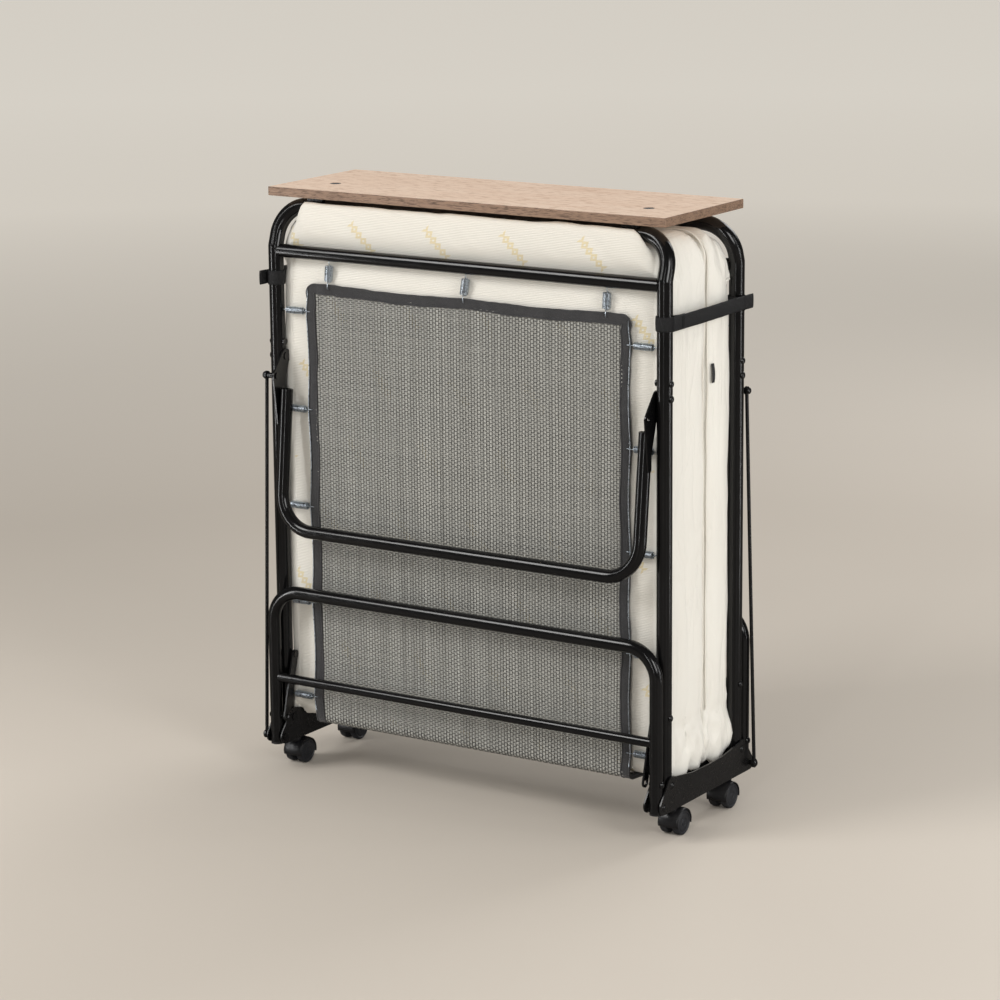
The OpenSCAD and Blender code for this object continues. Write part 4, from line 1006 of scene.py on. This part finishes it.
def hood_mesh():
    """The twin-wheel caster's hood: a rounded saddle over the wheels with a centre web and a stem boss."""
    parts = []
    R = 23.6; n = 30
    # saddle: swept arc of a crowned section, from low at the back to low at the front
    A = np.radians(np.linspace(-14, 194, n))
    sec = [(-18.6, 0.0), (-18.9, 1.0), (-18.3, 1.9), (-15, 2.5), (-9, 3.0), (0, 3.25), (9, 3.0), (15, 2.5), (18.3, 1.9), (18.9, 1.0), (18.6, 0.0), (9, -0.3), (0, -0.3), (-9, -0.3)]
    V, F = [], []
    for a in A:
        edge = min(1.0, (a - A[0]) / 0.3, (A[-1] - a) / 0.3); sc = 0.55 + 0.45 * math.sqrt(max(edge, 0))
        for (x, h) in sec:
            rr = R - 2.2 + h * (sc if h > 0 else 1)
            V.append((x, 10 - rr * math.cos(a), 21 + rr * math.sin(a)))
    kk = len(sec)
    for i in range(n - 1):
        for j in range(kk):
            j2 = (j + 1) % kk
            F.append((i * kk + j, (i + 1) * kk + j, (i + 1) * kk + j2, i * kk + j2))
    F.append(tuple(range(kk))); F.append(tuple(range((n - 1) * kk, n * kk))[::-1])
    parts.append((np.array(V), F))
    # centre web
    B = np.radians(np.linspace(-14, 194, 26))
    outl = [(10 - 21.6 * math.cos(a), 21 + 21.6 * math.sin(a)) for a in B]
    outl += [(10 + 9, 21 - 8), (10, 21 - 10.5), (10 - 9, 21 - 8)]
    V, F = [], []
    for x in (-4.2, -3.6, 3.6, 4.2):
        s = 0.97 if abs(x) > 4 else 1.0
        for (y, z) in outl: V.append((x, 10 + (y - 10) * s, 21 + (z - 21) * s))
    kk = len(outl)
    for i in range(3):
        for j in range(kk):
            j2 = (j + 1) % kk
            F.append((i * kk + j, i * kk + j2, (i + 1) * kk + j2, (i + 1) * kk + j))
    F.append(tuple(range(kk))[::-1]); F.append(tuple(range(3 * kk, 4 * kk)))
    parts.append((np.array(V), F))
    # stem boss and stem, turned about Z
    prof = [(38.5, 9.6), (44.5, 8.9), (47.2, 8.4), (48.6, 7.6), (49.0, 6.0), (49.2, 5.0), (63.0, 4.95), (63.8, 4.2)]
    V, F = [], []
    n = 32
    for z, r in prof:
        for j in range(n):
            a = 2 * math.pi * j / n; V.append((r * math.cos(a), r * math.sin(a), z))
    for i in range(len(prof) - 1):
        for j in range(n):
            j2 = (j + 1) % n
            F.append((i * n + j, i * n + j2, (i + 1) * n + j2, (i + 1) * n + j))
    F.append(tuple(range(n))[::-1]); F.append(tuple(range((len(prof) - 1) * n, len(prof) * n)))
    parts.append((np.array(V), F))
    return join(parts)

hv, hf = hood_mesh()
wp = wheel_half()
w1 = lathe(wp, cx=(0, 10, 21))
w2v = w1[0] * np.array([-1, 1, 1.0]); w2 = (w2v, [f[::-1] for f in w1[1]])
ax_ = lathe([(-6.5, 2.9), (6.5, 2.9)], n=20, cx=(0, 10, 21))
wv, wf = join([w1, w2, ax_])
for sx, nx_ in ((-1, "left"), (1, "right")):
    for sy, ny_ in ((-1, "front"), (1, "rear")):
        c = f"{ny_}_{nx_}"
        R = np.diag([1.0, 1.0, 1.0]) if sy < 0 else np.diag([-1.0, -1.0, 1.0])
        off = np.array([sx * 374.0, sy * 90.0, 0])
        o = make(c + "_caster_hood", (hv @ R.T + off) * mm, hf, MAT["caster_plastic"])
        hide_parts(c + "_caster_fork"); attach(o, c + "_caster")
        o = make(c + "_caster_wheels", (wv @ R.T + off) * mm, wf, MAT["wheel_plastic"])
        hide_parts(c + "_wheels"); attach(o, c + "_wheel_pair")

# ------------------------------------------------------------------ stage
def stage_mat(name, c, rough):
    m = M(name)
    nz = m.noise(1.4, 3, 0.5)
    col = m.mix(m.ramp(nz, [(0.3, 0.0), (0.7, 1.0)]), c, tuple(v * 0.985 for v in c))
    # painted light: paler in the distance, where the lamps don't reach; and near black to glossy rays, a painted dark
    # reflection in the mirror-like paint
    geo = m.n("ShaderNodeNewGeometry"); ln = m.n("ShaderNodeVectorMath"); ln.operation = "LENGTH"
    m.l(geo.outputs["Position"], ln.inputs[0])
    far = m.ramp(m.math("MULTIPLY", ln.outputs["Value"], 0.05), [(0.10, 0.0), (0.55, 1.0)])
    col = m.mix(far, col, (0.93, 0.90, 0.85))
    lp = m.n("ShaderNodeLightPath")
    col = m.mix(m.math("MULTIPLY", lp.outputs["Is Glossy Ray"], 0.72), col, (0.0, 0.0, 0.0))
    # painted glow: the far floor emits a warm light that only the camera sees
    far_glow_mask = m.ramp(m.math("MULTIPLY", ln.outputs["Value"], 0.05), [(0.11, 0.0), (0.36, 1.0)])
    painted_glow = m.math("MULTIPLY", m.math("MULTIPLY", far_glow_mask, 0.30), lp.outputs["Is Camera Ray"])
    return m.set(Base_Color=col, Roughness=rough, Specular_IOR_Level=0.25, Emission_Color=(1.0, 0.945, 0.85, 1.0), Emission_Strength=painted_glow)
fm = bpy.data.meshes.new("floor")
fm.from_pydata([(-60, -60, 0), (60, -60, 0), (60, 60, 0), (-60, 60, 0)], [], [(0, 1, 2, 3)])
floor = bpy.data.objects.new("floor", fm); bpy.context.scene.collection.objects.link(floor)
fm.materials.append(stage_mat("floor_pale", (0.62, 0.565, 0.50), 0.50))
# the floor drops below the legs when the bed is unfolded
feet = []
for body, y, z in (("front_centre_leg_body", -142, 320.7), ("rear_centre_leg_body", 142, 320.7), ("front_end_leg_body", -153, 433), ("rear_end_leg_body", 153, 433)):
    e = bpy.data.objects.new("foot_" + body, None); bpy.context.scene.collection.objects.link(e)
    e.location = (0, y * mm, z * mm); e.parent = frame["bodies"][body]; feet.append(e)
d = floor.driver_add("location", 2).driver
d.type = "SCRIPTED"
for i, e in enumerate(feet):
    v = d.variables.new(); v.name = "abcd"[i]; v.type = "TRANSFORMS"
    v.targets[0].id = e; v.targets[0].transform_type = "LOC_Z"; v.targets[0].transform_space = "WORLD_SPACE"
d.expression = "min(0, a - 0.0115, b - 0.0115, c - 0.0115, d - 0.0115)"

sc = bpy.context.scene
w = bpy.data.worlds.new("studio"); sc.world = w; w.use_nodes = True
bg = w.node_tree.nodes.get("Background") or w.node_tree.nodes.new("ShaderNodeBackground")
bg.inputs[0].default_value = (0.80, 0.775, 0.73, 1)
lp = w.node_tree.nodes.new("ShaderNodeLightPath"); dim = w.node_tree.nodes.new("ShaderNodeMath"); dim.operation = "MULTIPLY_ADD"
dim.inputs[1].default_value = -0.50; dim.inputs[2].default_value = 0.58   # mirror-like paint sees a darker room
w.node_tree.links.new(lp.outputs["Is Glossy Ray"], dim.inputs[0])
seen = w.node_tree.nodes.new("ShaderNodeMath"); seen.operation = "MULTIPLY_ADD"; seen.inputs[1].default_value = 0.22
w.node_tree.links.new(lp.outputs["Is Camera Ray"], seen.inputs[0]); w.node_tree.links.new(dim.outputs[0], seen.inputs[2]); w.node_tree.links.new(seen.outputs[0], bg.inputs[1])

def area(name, loc, target, size, power, color=(1, 1, 1), sy=None):
    l = bpy.data.lights.new(name, "AREA"); l.shape = "RECTANGLE"; l.size = size; l.size_y = sy or size
    l.energy = power; l.color = color
    o = bpy.data.objects.new(name, l); sc.collection.objects.link(o)
    o.location = loc
    o.rotation_mode = "QUATERNION"
    o.rotation_quaternion = (Vector(target) - Vector(loc)).to_track_quat("-Z", "Y")
    return o
area("key", (-2.1, -3.0, 3.3), (0, 0, 0.4), 1.7, 84, (1.0, 0.99, 0.975))
area("fill", (3.6, -1.7, 2.0), (0, 0, 0.5), 1.3, 56, (1.0, 0.995, 0.985), 2.0)
area("back", (0.6, 3.4, 2.7), (0, 0, 0.5), 2.0, 50)
area("strip", (1.1, -3.4, 1.3), (0, 0, 0.55), 0.16, 14, (1, 1, 1), 2.2)
area("line_left", (-1.25, -1.15, 0.40), (0, 0, 0.40), 0.07, 4.0, (1, 1, 1), 1.0)
area("line_right", (1.62, 0.50, 0.40), (0, 0, 0.40), 0.07, 2.8, (1, 1, 1), 1.0)
area("strip_left", (-2.6, -2.4, 1.1), (0, 0, 0.55), 0.14, 10, (1, 1, 1), 2.2)
area("strip_right", (3.0, 0.4, 1.1), (0, 0, 0.55), 0.14, 8, (1, 1, 1), 2.2)

# camera
yaw, pitch, roll = -0.575142, 0.227269, -0.009289
dv = Vector((math.sin(-yaw) * -1 * math.cos(pitch), math.cos(yaw) * math.cos(pitch), -math.sin(pitch)))
dv = Vector((math.sin(yaw) * math.cos(pitch), math.cos(yaw) * math.cos(pitch), -math.sin(pitch)))
rv = dv.cross(Vector((0, 0, 1))).normalized(); uv = rv.cross(dv)
r2 = rv * math.cos(roll) + uv * math.sin(roll); u2 = -rv * math.sin(roll) + uv * math.cos(roll)
cd = bpy.data.cameras.new("cam"); cam = bpy.data.objects.new("cam", cd); sc.collection.objects.link(cam)
cd.sensor_width = 36.0; cd.lens = 3319.58 / 1000 * 36.0; cd.clip_end = 300
m4 = Matrix((( r2.x, u2.x, -dv.x, 2.91845), (r2.y, u2.y, -dv.y, -4.51489), (r2.z, u2.z, -dv.z, 1.73557), (0, 0, 0, 1)))
cam.matrix_world = m4
sc.camera = cam
sc.view_settings.view_transform = "Standard"
sc.view_settings.look = "None"
sc.view_settings.exposure = 0.0
